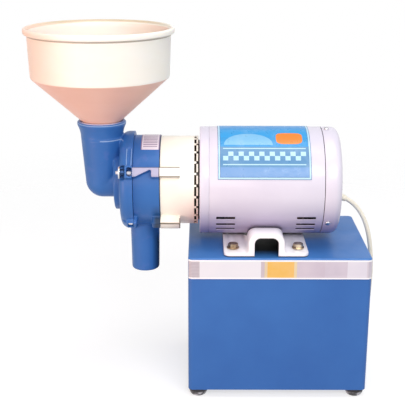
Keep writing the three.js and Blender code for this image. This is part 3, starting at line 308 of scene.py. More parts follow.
def add_softbox(name, place, target, size, watts, colour=(1, 1, 1)):
    light = bpy.data.lights.new(name, "AREA")
    light.shape = "RECTANGLE"
    light.size, light.size_y = size
    light.energy = watts
    light.color = colour
    lamp = bpy.data.objects.new(name, light)
    bpy.context.scene.collection.objects.link(lamp)
    lamp.location = place
    aim = Vector(target) - Vector(place)
    lamp.rotation_euler = aim.to_track_quat("-Z", "Y").to_euler()


def set_world():
    world = bpy.data.worlds.new("studio")
    bpy.context.scene.world = world
    world.use_nodes = True
    nodes = Nodes(world.node_tree)
    ground = nodes.tree.nodes["Background"].inputs
    nodes.feed(ground["Color"], (1, 1, 1, 1))
    nodes.feed(ground["Strength"], nodes.span(nodes.seen(), 0.0, 1.0, 0.38, 1.0))


add_floor()
set_world()
add_softbox("key_light", (0.6, -1.95, 1.5), (0, 0, 0.3), (1.5, 0.9), 27)
add_softbox("fill_light", (-1.5, -1.0, 0.2), (-0.1, 0, 0.4), (0.9, 0.9), 13, (1.0, 0.62, 0.48))
add_softbox("front_light", (-0.6, -2.0, 0.7), (-0.05, 0, 0.32), (0.8, 0.8), 7, (1.0, 0.86, 0.78))
add_softbox("top_light", (0.2, -0.3, 2.2), (0, 0, 0.3), (1.4, 1.2), 16)
bpy.context.scene.view_settings.view_transform = "Standard"
print("four soft lamps and a pale floor")

# %% [markdown]
# ## Paint
# The stand, the castings and the motor are sprayed with enamel. Sprayed paint has a fine
# orange peel, a slow change of tone where the coat is thicker, and a few dull smears where hands
# and water have been. On rough castings the peel is coarser than on sheet steel. Marks that belong
# to one piece only, mostly painted highlights and painted shade, come in as a function that changes
# the mixed colour.

# %% Paint
def paint(name, colour, shade, roughness, peel, peel_depth, coat=0.35, patches=None, marks=None):
    finish = Finish(name, roughness)
    mixed = finish.mottle(9, 4, colour, shade)
    if patches:
        spots = finish.span(finish.noise(38, 4), 0.56, 0.78, 0.0, 0.4)
        mixed = finish.blend(spots, mixed, patches)
    smear = finish.noise(22, 5, stretch=(1, 1, 0.35))
    finish.set(Roughness=finish.span(smear, 0.3, 0.75, roughness - 0.06, roughness + 0.14),
               Coat_Weight=coat, Coat_Roughness=0.12, Specular_IOR_Level=0.35)
    finish.relief(finish.noise(peel, 2) + finish.noise(peel / 9, 2) * 2.0, 0.35, peel_depth)
    return finish.done(marks(finish, mixed) if marks else mixed)


SHEET_BLUE = (50, 104, 176), (44, 96, 168)
CAST_BLUE = (52, 110, 182), (46, 101, 173)
GREY = (224, 219, 234), (215, 209, 226)
SHEET_COAT = dict(roughness=0.42, peel=900, peel_depth=0.00012, coat=0.1)
CAST_COAT = dict(roughness=0.42, peel=420, peel_depth=0.0004, coat=0.1, patches=(104, 116, 188))
GREY_COAT = dict(roughness=0.38, peel=800, peel_depth=0.0001)
blue_sheet_paint = paint("blue_sheet_paint", *SHEET_BLUE, **SHEET_COAT)
blue_cast_paint = paint("blue_cast_paint", *CAST_BLUE, **CAST_COAT)


def violet_shade_below(finish, grey):
    """Painted shade and reflection: the grey enamel turns violet low down, where the blue stand
    shades it and shows in it.
    """
    _, _, z = finish.places()
    return finish.blend(finish.span(z, SHAFT - 4, SHAFT - 58) ** 1.3, grey, (156, 146, 180))


grey_paint = paint("grey_paint", *GREY, **GREY_COAT, marks=violet_shade_below)
print("three plain paints")

# %% [markdown]
# ## Plastic, rubber and metal
# The lead's plastic has faint flow marks. Rubber is dark, dull and dusty, and the feet carry a
# painted grey highlight low down. Plated steel is bright with small spots, turned steel has fine
# lines round its axis, and the stones are all grain.

# %% Plastic, rubber and metal
def plastic(name, colour, shade, roughness):
    finish = Finish(name, roughness)
    return finish.done(finish.mottle(7, 4, colour, shade, stretch=(1, 1, 2.4)),
                       (60, 5, roughness - 0.05, roughness + 0.1), (650, 2, 0.25, 0.0001))


def dusty_rubber():
    finish = Finish("black_rubber", 0.75)
    return finish.done(finish.mottle(75, 6, (40, 38, 42), (92, 88, 92), 0.48, 0.72),
                       (240, 3, 0.62, 0.9), (700, 3, 0.4, 0.0003))


def rubber_with_sheen():
    finish = Finish("rubber_with_sheen", 0.5)
    _, _, z = finish.places()
    # Pale patches low on each foot are a painted highlight.
    sheen = finish.span(z, 8.8, 6.2) & finish.span(finish.noise(120, 4), 0.4, 0.58, 0.1, 1.0)
    return finish.done(finish.blend(sheen, (20, 19, 22), (188, 188, 196)),
                       (240, 3, 0.4, 0.7), (700, 3, 0.4, 0.0003))


def metal(name, colour, shade, roughness, stretch=(1, 1, 1), lines=1500, spots=None):
    finish = Finish(name, roughness, 1.0)
    mixed = finish.mottle(70, 5, colour, shade)
    if spots:
        mixed = finish.mottle(140, 5, mixed, spots, 0.62, 0.8)
    return finish.done(mixed, (260, 4, roughness - 0.06, roughness + 0.16, 0.75),
                       (lines, 2, 0.25, 0.00012, stretch))


def grainy(name, roughness, metallic, scale, detail, tones, high, strength, depth,
           stretch=(1, 1, 1)):
    """A finish that is all grain, such as stone or wound wire."""
    finish = Finish(name, roughness, metallic)
    return finish.done(finish.mottle(scale, detail, *tones, 0.35, high, stretch),
                       grain=(scale, detail, strength, depth, stretch))


cord_plastic = plastic("cord_plastic", (246, 240, 224), (236, 226, 205), 0.45)
fan_plastic = plastic("fan_plastic", (62, 62, 66), (48, 48, 52), 0.5)
black_rubber = dusty_rubber()
foot_rubber = rubber_with_sheen()
plated_steel = metal("plated_steel", (226, 224, 228), (190, 188, 196), 0.2,
                     spots=(150, 138, 128))
aged_zinc = metal("aged_zinc", (214, 198, 172), (132, 108, 82), 0.3, spots=(84, 62, 46))
turned_steel = metal("turned_steel", (176, 178, 184), (140, 142, 148), 0.34, (0.1, 1, 1))
laminations = metal("laminations", (120, 122, 130), (84, 84, 92), 0.45, (14, 1, 1), 240)
stone_grit = grainy("grindstone", 0.9, 0.0, 900, 5, ((150, 146, 136), (96, 92, 86)), 0.65, 0.7,
                    0.0008)
copper_wire = grainy("winding_wire", 0.35, 0.7, 400, 3, ((104, 56, 32), (58, 32, 22)), 0.65, 0.8,
                     0.0006, (6, 1, 1))
print("plastics, rubber, metals, stone and wire are ready")

# %% [markdown]
# ## Small tools for meshes
# Most of this machine is turned, pressed or cast. A turned piece starts as a half outline that is
# spun round its axis. The outline is a wire of a few corners, and a vertex bevel rounds each
# corner before the spin, so that the piece gets true fillets. Sheet and bar start as a cube with
# bevelled edges. Openings are cut with a Boolean modifier that is applied at once.

# %% Shapes
def soften(bm, geom, width, segments, affect="EDGES", **more):
    """Round off edges or corners, with the width in metres."""
    bmesh.ops.bevel(bm, geom=geom, offset=width, affect=affect, segments=segments, profile=0.5,
                    material=-1, **more)


def placed(bm, move=(0, 0, 0), turn=0.0, axis="X", about=(0, 0, 0)):
    """Turn a shape by degrees about an axis, then move it."""
    bmesh.ops.rotate(bm, cent=about, matrix=Matrix.Rotation(math.radians(turn), 3, axis),
                     verts=bm.verts)
    bmesh.ops.translate(bm, vec=move, verts=bm.verts)
    return bm


def round_corners(bm, wire, corners, segments=None):
    """Bevel the corners of a wire that have a third number, their fillet in millimetres."""
    for vertex, corner in zip(wire, corners):
        fillet = corner[2] if len(corner) > 2 else 0
        if fillet:
            steps = segments or max(2, min(6, round(fillet * 1.5) + 1))
            soften(bm, [vertex], fillet / 1000, steps, "VERTICES", clamp_overlap=not segments)


def turned(corners, centre, axis="Z", steps=96, closed=False):
    """Spin an outline of (radius, along, fillet) in millimetres round an axis through centre."""
    bm = bmesh.new()
    wire = [bm.verts.new((corner[0] / 1000, 0, corner[1] / 1000)) for corner in corners]
    for pair in zip(wire, wire[1:]):
        bm.edges.new(pair)
    if closed:
        bm.edges.new((wire[-1], wire[0]))
    round_corners(bm, wire, corners)
    bmesh.ops.spin(bm, geom=bm.verts[:] + bm.edges[:], cent=(0, 0, 0), axis=(0, 0, 1),
                   angle=2 * math.pi, steps=steps, use_merge=True)
    bmesh.ops.remove_doubles(bm, verts=bm.verts, dist=2e-6)
    bmesh.ops.recalc_face_normals(bm, faces=bm.faces)
    return placed(bm, centre, 90 if axis == "X" else 0, "Y")


def bar(low, high, bevel=0.0):
    """A block between two corners, in metres, with rounded edges."""
    bm = bmesh.new()
    bmesh.ops.create_cube(bm, size=1)
    bmesh.ops.scale(bm, vec=Vector(high) - Vector(low), verts=bm.verts)
    placed(bm, (Vector(low) + Vector(high)) / 2)
    if bevel:
        soften(bm, bm.edges[:], bevel, 2)
    return bm


def rod(radius, start, end, centre, sides=32, bevel=0.0, axis="X"):
    """A rod in millimetres along X or Z, counted from centre."""
    return turned([(0, start), (radius, start, bevel), (radius, end, bevel), (0, end)],
                  centre, axis, sides)


def post(radius, start, end, centre, sides=32):
    return rod(radius, start, end, centre, sides, axis="Z")


def upright_edges(bm):
    return [e for e in bm.edges if (e.verts[0].co - e.verts[1].co).xy.length < 1e-6]


def push_back(bm, faces, depth):
    """Make a solid of flat faces by pushing them back along Y."""
    grown = bmesh.ops.extrude_face_region(bm, geom=faces)["geom"]
    bmesh.ops.translate(bm, vec=(0, depth, 0),
                        verts=[g for g in grown if isinstance(g, bmesh.types.BMVert)])


def slice_off(bm, place, side):
    """Cut a shape along a plane, drop what lies on that side and give back the cut."""
    return bmesh.ops.bisect_plane(bm, geom=bm.verts[:] + bm.edges[:] + bm.faces[:],
                                  plane_co=place, plane_no=side, clear_outer=True)["geom_cut"]


def ball(radius, centre):
    bm = bmesh.new()
    bmesh.ops.create_uvsphere(bm, u_segments=64, v_segments=32, radius=radius / 1000)
    return placed(bm, centre)


print("turned shapes, bars, rods and balls can be made")

# %% Joining and cutting
def merge(*shapes):
    """All the shapes in one bmesh, side by side."""
    whole = bmesh.new()
    for shape in shapes:
        mesh = bpy.data.meshes.new("part")
        shape.to_mesh(mesh)
        shape.free()
        whole.from_mesh(mesh)
        bpy.data.meshes.remove(mesh)
    return whole


def as_object(bm, name):
    mesh = bpy.data.meshes.new(name)
    bm.to_mesh(mesh)
    bm.free()
    made = bpy.data.objects.new(name, mesh)
    bpy.context.scene.collection.objects.link(made)
    return made


def taken(piece):
    """The mesh of an object as a bmesh again. The object goes."""
    shape = bmesh.new()
    shape.from_mesh(piece.data)
    bpy.data.objects.remove(piece)
    return shape


def settle(piece):
    """Apply every modifier of a piece to its mesh."""
    graph = bpy.context.evaluated_depsgraph_get()
    mesh = bpy.data.meshes.new_from_object(piece.evaluated_get(graph))
    piece.modifiers.clear()
    old = piece.data
    piece.data = mesh
    bpy.data.meshes.remove(old)
    return piece


def combine(piece, tool, operation):
    """Join a shape to a piece, or cut it out, and remove the tool."""
    tool = tool if isinstance(tool, bpy.types.Object) else as_object(tool, "tool")
    modifier = piece.modifiers.new("combine", "BOOLEAN")
    modifier.operation = operation
    modifier.object = tool
    modifier.solver = "EXACT"
    modifier.use_self = True
    settle(piece)
    bpy.data.objects.remove(tool)
    return piece


def cut(piece, *tools):
    return combine(piece, merge(*tools), "DIFFERENCE")


def cast(piece, voxel, rounds):
    """Melt a sharp-edged shape together like a casting, with soft edges and inner corners."""
    remesh = piece.modifiers.new("melt", "REMESH")
    remesh.mode = "VOXEL"
    remesh.voxel_size = voxel
    smooth = piece.modifiers.new("soften", "SMOOTH")
    smooth.factor = 0.5
    smooth.iterations = rounds
    return settle(piece)


def ease_edges(piece, width, angle):
    """Take the sharpness off every edge that turns by more than an angle."""
    edges = piece.modifiers.new("edges", "BEVEL")
    edges.width = width
    edges.segments = 2
    edges.limit_method = "ANGLE"
    edges.angle_limit = math.radians(angle)
    return settle(piece)


def finish_piece(shape, name, material, node=None, body="stand", angle=35):
    """Name, shade and paint a finished shape, which is a bmesh or an object, hang it on its body and
    hide the CAD node that it replaces.
    """
    piece = as_object(shape, name) if isinstance(shape, bmesh.types.BMesh) else shape
    piece.name = name
    bm = bmesh.new()
    bm.from_mesh(piece.data)
    for face in bm.faces:
        face.smooth = True
    for edge in bm.edges:
        edge.smooth = len(edge.link_faces) == 2 and edge.calc_face_angle() < math.radians(angle)
    bm.to_mesh(piece.data)
    bm.free()
    piece.data.materials.clear()
    piece.data.materials.append(material)
    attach(piece, body)
    if node:
        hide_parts(node)
    triangles = sum(len(p.vertices) - 2 for p in piece.data.polygons)
    print(f"{piece.name}: {triangles} triangles, rides on {body}")
    return piece


def dress(material, *nodes):
    """Give CAD pieces that stay a better finish."""
    for name in nodes:
        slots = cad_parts[name].data.materials
        slots.clear()
        slots.append(material)


print("pieces can be joined, cut, cast and finished")

# %% [markdown]
# ## The mains lead
# A 7 mm lead leaves the motor's rear cap through a ribbed sleeve, hangs down beside the stand's
# right side and lies on the table. About 1.7 m is usual on such a machine, and the photograph shows
# only its first bend, so the rest is wound into a coil behind the stand, held by a tie. The line
# repeats the CAD route, and a round bevel on a curve gives the sheath.

# %% Lead
LEAD_ROUTE = [
    (252.2, 30, 266.4), (261.9, 30, 256.6), (270.4, 30, 243.4), (277.4, 30, 226.5),
    (282.3, 30, 206.6), (285.3, 30, 187), (287, 30.4, 165), (287.6, 31.4, 140),
    (287.2, 33.5, 113), (285.8, 38, 85), (283, 46, 58), (279.4, 58, 34.5), (276, 74, 17),
    (273.8, 93, 7.4), (272.6, 113, 4.6), (272, 134, 4.6),
]
SEAT = Vector((221.3, 30, 281))
TILT = 22
OUT = Vector((math.cos(math.radians(TILT)), 0, -math.sin(math.radians(TILT))))
COIL_MIDDLE, PITCH, TURNS, COIL_STEPS = 41.0, 7.6, 2.5, 200
COIL_X, COIL_Y, LOWER, UPPER = 221.5, 170.0, 5.1, 12.7
COIL_OUTER = COIL_MIDDLE + PITCH * TURNS / 2
COIL_EDGE = COIL_X + COIL_OUTER
PLUG_START = COIL_Y + 42.3


def smooth_line(points, per_span=8):
    """A Catmull-Rom line through the points, as the CAD route has."""
    line = []
    padded = [2 * points[0] - points[1], *points, 2 * points[-1] - points[-2]]
    for a, b, c, d in zip(padded, padded[1:], padded[2:], padded[3:]):
        t1 = math.sqrt((b - a).length)
        t2 = t1 + math.sqrt((c - b).length)
        t3 = t2 + math.sqrt((d - c).length)
        for step in range(per_span):
            t = t1 + (t2 - t1) * step / per_span
            p = a * (t1 - t) / t1 + b * t / t1
            q = b * (t2 - t) / (t2 - t1) + c * (t - t1) / (t2 - t1)
            r = c * (t3 - t) / (t3 - t2) + d * (t - t2) / (t3 - t2)
            u = p * (t2 - t) / t2 + q * t / t2
            v = q * (t3 - t) / (t3 - t1) + r * (t - t1) / (t3 - t1)
            line.append(u * (t2 - t) / (t2 - t1) + v * (t - t1) / (t2 - t1))
    line.append(points[-1])
    return line


def coil_line():
    """In a spiral on the table, up one layer in half a turn, and out again."""
    points = []
    for i in range(COIL_STEPS + 1):
        turn = 2 * TURNS * i / COIL_STEPS
        radius = COIL_OUTER + PITCH * (abs(turn - TURNS) - TURNS)
        share = min(1, max(0, (turn - TURNS + 0.25) / 0.5))
        climb = share * share * (3 - 2 * share)
        angle = 2 * math.pi * turn
        points.append(Vector((COIL_X + radius * math.cos(angle),
                              COIL_Y + radius * math.sin(angle), LOWER + climb * PITCH)))
    return points


hanging = smooth_line([SEAT + OUT * 14, SEAT + OUT * 23.6, *[Vector(p) for p in LEAD_ROUTE],
                       Vector((COIL_EDGE, COIL_Y - 8.3, LOWER))])
tail = [Vector((COIL_EDGE, y, UPPER)) for y in (COIL_Y + 14, COIL_Y + 28, PLUG_START)]
cord_points = [at(*p) for p in hanging + coil_line() + tail]
line = bpy.data.curves.new("mains_lead", "CURVE")
line.dimensions = "3D"
spline = line.splines.new("POLY")
spline.points.add(len(cord_points) - 1)
for point, place in zip(spline.points, cord_points):
    point.co = (*place, 1)
line.bevel_depth = 0.0035
line.bevel_resolution = 3
line.use_fill_caps = True
mains_lead = bpy.data.objects.new("mains_lead", line)
bpy.context.scene.collection.objects.link(mains_lead)
line.materials.append(cord_plastic)
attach(mains_lead, "stand")
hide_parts("cord_lead", "cord_coil")

# %% [markdown]
# ## Sleeve, plug and tie
# Where the lead leaves the cap a tapered sleeve with ribs keeps it from kinking. The sleeve is one
# outline with grooves, spun, tilted down and cut flat where it meets the cap. The plug is a round
# moulded body with two pins, and the tie is a flat ring round all the turns.

# %% Sleeve and plug
def sleeve():
    corners = [(0, -2), (9, -2), (9, 3.5, 0.8), (6.9, 3.5, 0.3)]
    for i in range(5):
        along = 6 + 3.4 * i
        radius = 6.4 - 0.36 * i
        corners += [(radius, along, 0.2), (radius - 0.9, along + 0.3), (radius - 0.9, along + 1.0),
                    (radius - 0.1, along + 1.3, 0.2)]
    corners += [(4.4, 23, 0.5), (3.5, 23)]
    shape = placed(turned(corners, (0, 0, 0), "X", 32), at(*SEAT), TILT, "Y")
    slice_off(shape, at(*SEAT), (-1, 0, 0))
    bmesh.ops.holes_fill(shape, edges=[e for e in shape.edges if e.is_boundary], sides=0)
    bmesh.ops.recalc_face_normals(shape, faces=shape.faces)
    return shape


def plug():
    """The moulded body and its two pins, lying behind the coil."""
    body = turned([(0, 0), (4.6, 0, 0.6), (5.6, 14, 1), (6.4, 18, 1), (12.4, 21.5, 3),
                   (12.4, 27, 0.6), (11.4, 28, 0.4), (11.4, 31, 0.4), (12.4, 32, 0.6),
                   (12.4, 40.5, 3), (11.2, 44, 0.8), (0, 44)], (0, 0, 0), "X", 48)
    pins = [turned([(0, 40), (2.4, 40), (2.4, 63, 1.4), (0, 63)], (0, side * 9.5e-3, 0), "X", 20)
            for side in (-1, 1)]
    start = at(COIL_EDGE, PLUG_START, UPPER)
    return placed(body, start, 90, "Z"), placed(merge(*pins), start, 90, "Z")


moulding, pins = plug()
gland = finish_piece(sleeve(), "cord_sleeve", cord_plastic, "cord_gland")
plug_body = finish_piece(moulding, "plug_body", cord_plastic, "mains_plug")
plug_pins = finish_piece(pins, "plug_pins", plated_steel)
dress(black_rubber, "cord_tie")

# %% [markdown]
# ## The hopper
# The hopper is one plastic moulding: a rolled rim, a nearly upright wall, a cone, and a short
# spigot that drops into the cup. A single closed outline, spun once round the upright axis, gives
# the whole shell with its real wall of 2.4 mm. It rides on its own body because it lifts out. Its
# cream plastic lets a little light in. The cone is painted a warmer tone as shade, the outer left
# side and the inner right side carry a painted warm shade, the top of the rear rim a painted
# shade, and a thin painted shadow lies under the rolled rim. The mould left faint level rings. The
# wall leans, so a line up its middle tells the inside from the outside.

# %% Hopper
CONE_TOP = 467
HOPPER_OUTLINE = [
    (23.0, 381.1, 0.8), (25.4, 381.1, 1.2), (25.4, 398.0, 4), (101.1, 466.9, 2.2),
    (103.5, 529.3, 1.2), (108.8, 529.3, 2.6), (108.8, 538.0, 3.2), (104.0, 538.0, 2.4),
    (101.3, 530.0, 4), (98.6, 467.9, 8), (23.0, 399.1, 4),
]


def cream_plastic():
    finish = Finish("cream_plastic", 0.38)
    x, y, z = finish.places()
    across = x - CUP
    out = length(across, y)
    outside = out > finish.span(z, CONE_TOP, 530, 99.85, 102.4)
    inside = finish.math("SUBTRACT", 1.0, outside)
    flow = finish.span(finish.noise(7, 4, (1, 1, 2.4)), 0.35, 0.7)
    # Painted warm shade on the outer left side and the inner right side.
    sides = (finish.span(across, -20, -100, 0.0, 0.75) & outside
             | finish.span(across, 10, 95, 0.0, 0.6) & inside)
    side_shaded = finish.blend(sides, finish.blend(flow, (255, 252, 243), (253, 247, 236)),
                        (246, 208, 186))
    # Painted shade along the top of the rear rim.
    rear_rim_shade = finish.span(z, 533.5, 536) & finish.span(y, 20, 80)
    side_shaded = finish.blend(rear_rim_shade, side_shaded, (214, 198, 172))
    # Painted warm shade on the downward-facing cone.
    warm_shade = finish.blend(flow, (246, 202, 186), (240, 192, 174))
    mixed = finish.blend(finish.span(z, CONE_TOP - 0.8, CONE_TOP + 0.4, 1.0, 0.0), side_shaded, warm_shade)
    # A thin painted shadow just under the rolled rim.
    rim_shadow = z.between(526.8, 529.2) & out.between(102.2, 104)
    finish.set(Subsurface_Weight=0.15, Subsurface_Radius=(0.006, 0.004, 0.0025),
               Subsurface_Scale=1.0)
    return finish.done(finish.blend(rim_shadow * 0.6, mixed, (128, 112, 92)),
                       (60, 5, 0.33, 0.48), (420, 3, 0.3, 0.00012, (0.02, 0.02, 1)))


finish_piece(turned(HOPPER_OUTLINE, at(CUP, 0, 0), "Z", 160, closed=True), "funnel_hopper",
             cream_plastic(), "hopper", "hopper", 50)

# %% [markdown]
# ## Shapes that stand out from the shaft line
# Ears, lugs and pockets sit round the shaft at an angle that is counted upwards from the front. A
# block is made at the front and then turned about the shaft. The cover and the drum meet at the
# seam, and each casting is trimmed flat across the shaft.

# %% Ears and lugs
CLAMPED = (23.2, 156.8)
DOWELLED = (-44.0, 224.0)
LUGS = CLAMPED + DOWELLED
SEAM = -80.15
SEAM_GAP = 0.2
VOXEL = 0.0012


def turn_about_shaft(bm, angle):
    return placed(bm, turn=-angle, about=SHAFT_LINE)


def radial_block(angle, inner, outer, width, start, end, bevel=0.0):
    low = at(start, -outer, SHAFT - width / 2)
    high = at(end, -inner, SHAFT + width / 2)
    return turn_about_shaft(bar(low, high, bevel / 1000), angle)


def lug(angle, root, start, end, half=7.5, bevel=1.6):
    """A block with rounded edges that stands out from a ring and takes a bolt."""
    return radial_block(angle, root, BOLT_CIRCLE + half, 2 * half, start, end, bevel)


def radial_rod(angle, x, radius, inner, outer, sides=24, bevel=0.0):
    """A rod that points out from the shaft line."""
    shape = turned([(0, inner), (radius, inner), (radius, outer, bevel), (0, outer)],
                   at(x, 0, SHAFT), "Z", sides)
    return turn_about_shaft(shape, angle - 90)


def trim(piece, x):
    """Cut a casting flat across the shaft and keep the side towards the cup."""
    bm = bmesh.new()
    bm.from_mesh(piece.data)
    rim = [e for e in slice_off(bm, at(x, 0, SHAFT), (1, 0, 0))
           if isinstance(e, bmesh.types.BMEdge)]
    bmesh.ops.triangle_fill(bm, edges=rim, use_dissolve=False)
    bmesh.ops.recalc_face_normals(bm, faces=bm.faces)
    open_edges = sum(1 for e in bm.edges if len(e.link_faces) != 2)
    print(piece.name, "trimmed at", x, "with", open_edges, "open edges")
    bm.to_mesh(piece.data)
    bm.free()
    return piece


# %% [markdown]
# ## The feed cover
# Cup, elbow, barrel, dome and flange are one casting. A casting has no sharp corner: the sand
# mould rounds every edge and fills every inner corner. The parts are put together first, and
# the bean passage, the pockets for the adjusting nuts and the seats of the hand nuts are cut out.
# Then a voxel remesh with a little smoothing melts them into one skin with natural fillets.

# %% Feed cover
def feed_cover():
    dome = turned([(0, -110), (44.5, -110, 2), (44.5, -100.2, 1.5), (73, -100.2, 12), (73, -77),
                   (0, -77)], SHAFT_LINE, "X", 128)
    cup = turned([(0, 0), (26, 0), (31.1, 65.5), (31.8, 77, 7), (36.3, 86.0, 2.2),
                  (36.3, 88.6, 0.6), (33.4, 91.5, 0.5), (0, 91.5)], CUP_AXIS, "Z", 128)
    ledge = turned([(0, 0), (26, 0), (32.4, 65.5), (31, 66.5), (0, 66.5)],
                   at(CUP + 1.6, -0.6, SHAFT), "Z", 128)
    shapes = [dome, rod(26, CUP, -107, SHAFT_LINE, 64), ball(26, CUP_AXIS), cup, ledge]
    shapes += [lug(angle, 52, -91, -77, 9.5, 1.2) for angle in CLAMPED]
    shapes += [lug(angle, 52, -91, -77, bevel=2.4) for angle in DOWELLED]
    passage = turned([(0, 0), (22, 0), (26.7, 69.5), (26.7, 86.4), (31, 91.5), (31, 96), (0, 96)],
                     CUP_AXIS, "Z", 96)
    cuts = [passage, ball(22, CUP_AXIS), rod(20, CUP, -81, SHAFT_LINE, 64),
            rod(55.6, -93, -70, SHAFT_LINE, 128), rod(64.2, -82, -70, SHAFT_LINE, 128)]
    for angle in LUGS:
        cuts.append(radial_block(angle, 64.5, 90, 12.6, -87.9, -81))
        cuts.append(rod(3.3, -104, -70, on_lug(angle), 24))
    for angle, above in zip(CLAMPED, (20.5, -20.5)):
        cuts.append(radial_block(angle, 62.5, 90, 20, -116, -91))
        cuts.append(radial_block(angle + above, 70.8, 90, 27, -88.2, -82.6))
    cover = cut(as_object(merge(*shapes), "cover"), *cuts)
    return trim(cast(cover, VOXEL, 4), SEAM - SEAM_GAP)


def cover_highlights(finish, blue):
    """A painted reflection of the hopper in the cup's mouth, and painted highlights on the lip, the
    ledge and the edges of the groove above the front ear.
    """
    x, y, z = finish.places()
    height = z - SHAFT
    seat_reflection = (height > 90.2) & finish.span(abs(x - CUP), 20, 31, 1.0, 0.15)
    lip_highlight = height.between(87.8, 89.0)
    ledge = x.between(CUP, CUP + 33.5) & (y < 0.0) & height.between(64.9, 66.2)
    out, across = finish.along_lug(CLAMPED[0])
    lines = x.between(-89.2, -88.2) | x.between(-82.4, -81.4)
    groove_highlight = across.between(8.5, 36) & (out > 55) & lines
    highlighted = finish.blend((lip_highlight | ledge | groove_highlight) * 0.7, blue, (150, 178, 218))
    return finish.blend(seat_reflection, highlighted, (196, 190, 212))


cover_paint = paint("cover_paint", *CAST_BLUE, **CAST_COAT, marks=cover_highlights)
finish_piece(feed_cover(), "feed_cover_casting", cover_paint, "feed_cover",
             angle=70)

# %% [markdown]
# ## The grinding drum and its spout
# The drum is the second casting. Two bosses behind the cover's ears take the clamp studs and run
# out towards their upper edge, and four short lugs at the back take the screws of the adapter. The
# spout hangs down beside the stand's left side and has a rounded mouth. Both ends of the casting
# are machined flat, so they are cut after the remesh and stay crisp. Below the cover's flange the
# spout keeps its full round and reaches forward of that face.

# %% Drum
SPOUT_HALF = 18.5


def clamp_boss(angle):
    """A flat-faced boss, wide at the cover and running out at its upper edge."""
    up = 1 if angle < 90 else -1
    bm = bmesh.new()
    outline = [(-84, -7.1), (-76, -7.1), (-52, 4.6), (-52, 7.1), (-84, 7.1)]
    face = bm.faces.new([bm.verts.new(at(x, -79.1, SHAFT + up * side)) for x, side in outline])
    push_back(bm, [face], 0.0188)
    bmesh.ops.recalc_face_normals(bm, faces=bm.faces)
    return turn_about_shaft(bm, angle)


def grinding_drum():
    wall = turned([(17.3, -37), (67, -37), (67, -84), (60, -84), (60, -47.3, 2),
                   (21, -47.3, 1), (21, -50.3), (15.5, -50.3), (15.5, -48.8), (17.3, -48.8)],
                  SHAFT_LINE, "X", 128, closed=True)
    spout_axis = at(-66.8, 0, SHAFT)
    pipe = turned([(0, -140), (21, -140, 3), (22, -73), (22, -62), (0, -62)], spout_axis, "Z", 64)
    shapes = [wall, pipe] + [clamp_boss(angle) for angle in CLAMPED]
    shapes += [lug(angle, 60.3, -84, -75) for angle in DOWELLED]
    shapes += [lug(angle, 60.3, -53.3, -37) for angle in LUGS]
    cuts = [post(17, -150, -80, spout_axis, 48),
            bar(at(-74, -15, SHAFT - 84), at(-50.1, 15, SHAFT - 52)),
            rod(59.9, -90, -47.4, SHAFT_LINE, 128)]
    for angle in LUGS:
        cuts.append(rod(2.8, -49, -30, on_lug(angle), 20))
        cuts.append(rod(3.3, -90, -70.7 if angle in CLAMPED else -76.7, on_lug(angle), 20))
    drum = cast(cut(as_object(merge(*shapes), "drum"), *cuts), VOXEL, 3)
    face = SEAM + SEAM_GAP
    ahead = [rod(73.2, -92, face, SHAFT_LINE, 128),
             bar(at(-92, -95, SHAFT - 95), at(face, -SPOUT_HALF, SHAFT + 95)),
             bar(at(-92, SPOUT_HALF, SHAFT - 95), at(face, 95, SHAFT + 95)),
             bar(at(-92, -SPOUT_HALF - 1, SHAFT), at(face, SPOUT_HALF + 1, SHAFT + 95))]
    return trim(cut(drum, *ahead), -41.3)


def drum_light_and_shade(finish, blue):
    """Painted light: a pale glare on the flats of the bosses, a painted shade line along their upper
    edges, and painted shade at the seam and by the low lugs.
    """
    x, _, _ = finish.places()
    out, across = finish.along_lug(CLAMPED[0])
    low, _ = finish.along_lug(DOWELLED[0])
    flat_glare = finish.blend((out > 78.4) * 0.9, blue, (186, 182, 208))
    boss_edge_shade = finish.blend(((out > 76) & (across > 5.8)) * 0.75, flat_glare, (56, 78, 120))
    low_lug_shade = finish.span(low, 60, 71) & finish.span(x, -56, -47, 0.0, 0.85)
    return finish.blend(low_lug_shade | (x > -42.1) * 0.8, boss_edge_shade, (8, 22, 30))


drum_paint = paint("drum_paint", *CAST_BLUE, **CAST_COAT, marks=drum_light_and_shade)
finish_piece(grinding_drum(), "drum_casting", drum_paint, "grinding_drum",
             angle=70)

# %% [markdown]
# ## The adapter
# A cream ring joins the drum to the motor. The motor's cooling air leaves through 24 narrow windows
# behind a second row of notches, set half a step round. The ring is turned, and one array of small
# blocks cuts all the openings at once.

# %% Adapter
def motor_adapter():
    ring = turned([(24, -41), (65.8, -41, 0.8), (65.8, 14, 0.5), (60, 14, 0.3), (60, 16),
                   (56.8, 16, 0.3), (59.8, 2.4), (59.8, -34, 3), (24, -34)],
                  SHAFT_LINE, "X", 192, closed=True)
    piece = as_object(ring, "adapter")
    cuts = []
    for angle in LUGS:
        combine(piece, lug(angle, 60.1, -41, -12, bevel=1.0), "UNION")
        cuts.append(rod(2.8, -45, -8, on_lug(angle), 24))
        cuts.append(rod(4.6, -18.3, -8, on_lug(angle), 32))
    for i in range(24):
        cuts.append(radial_block(15 * i, 50, 70, 14.2, 8.4, 11.6))
        cuts.append(radial_block(15 * i + 7.5, 60.3, 70, 5.0, 11.5, 18))
    return ease_edges(cut(piece, *cuts), 0.0004, 50)


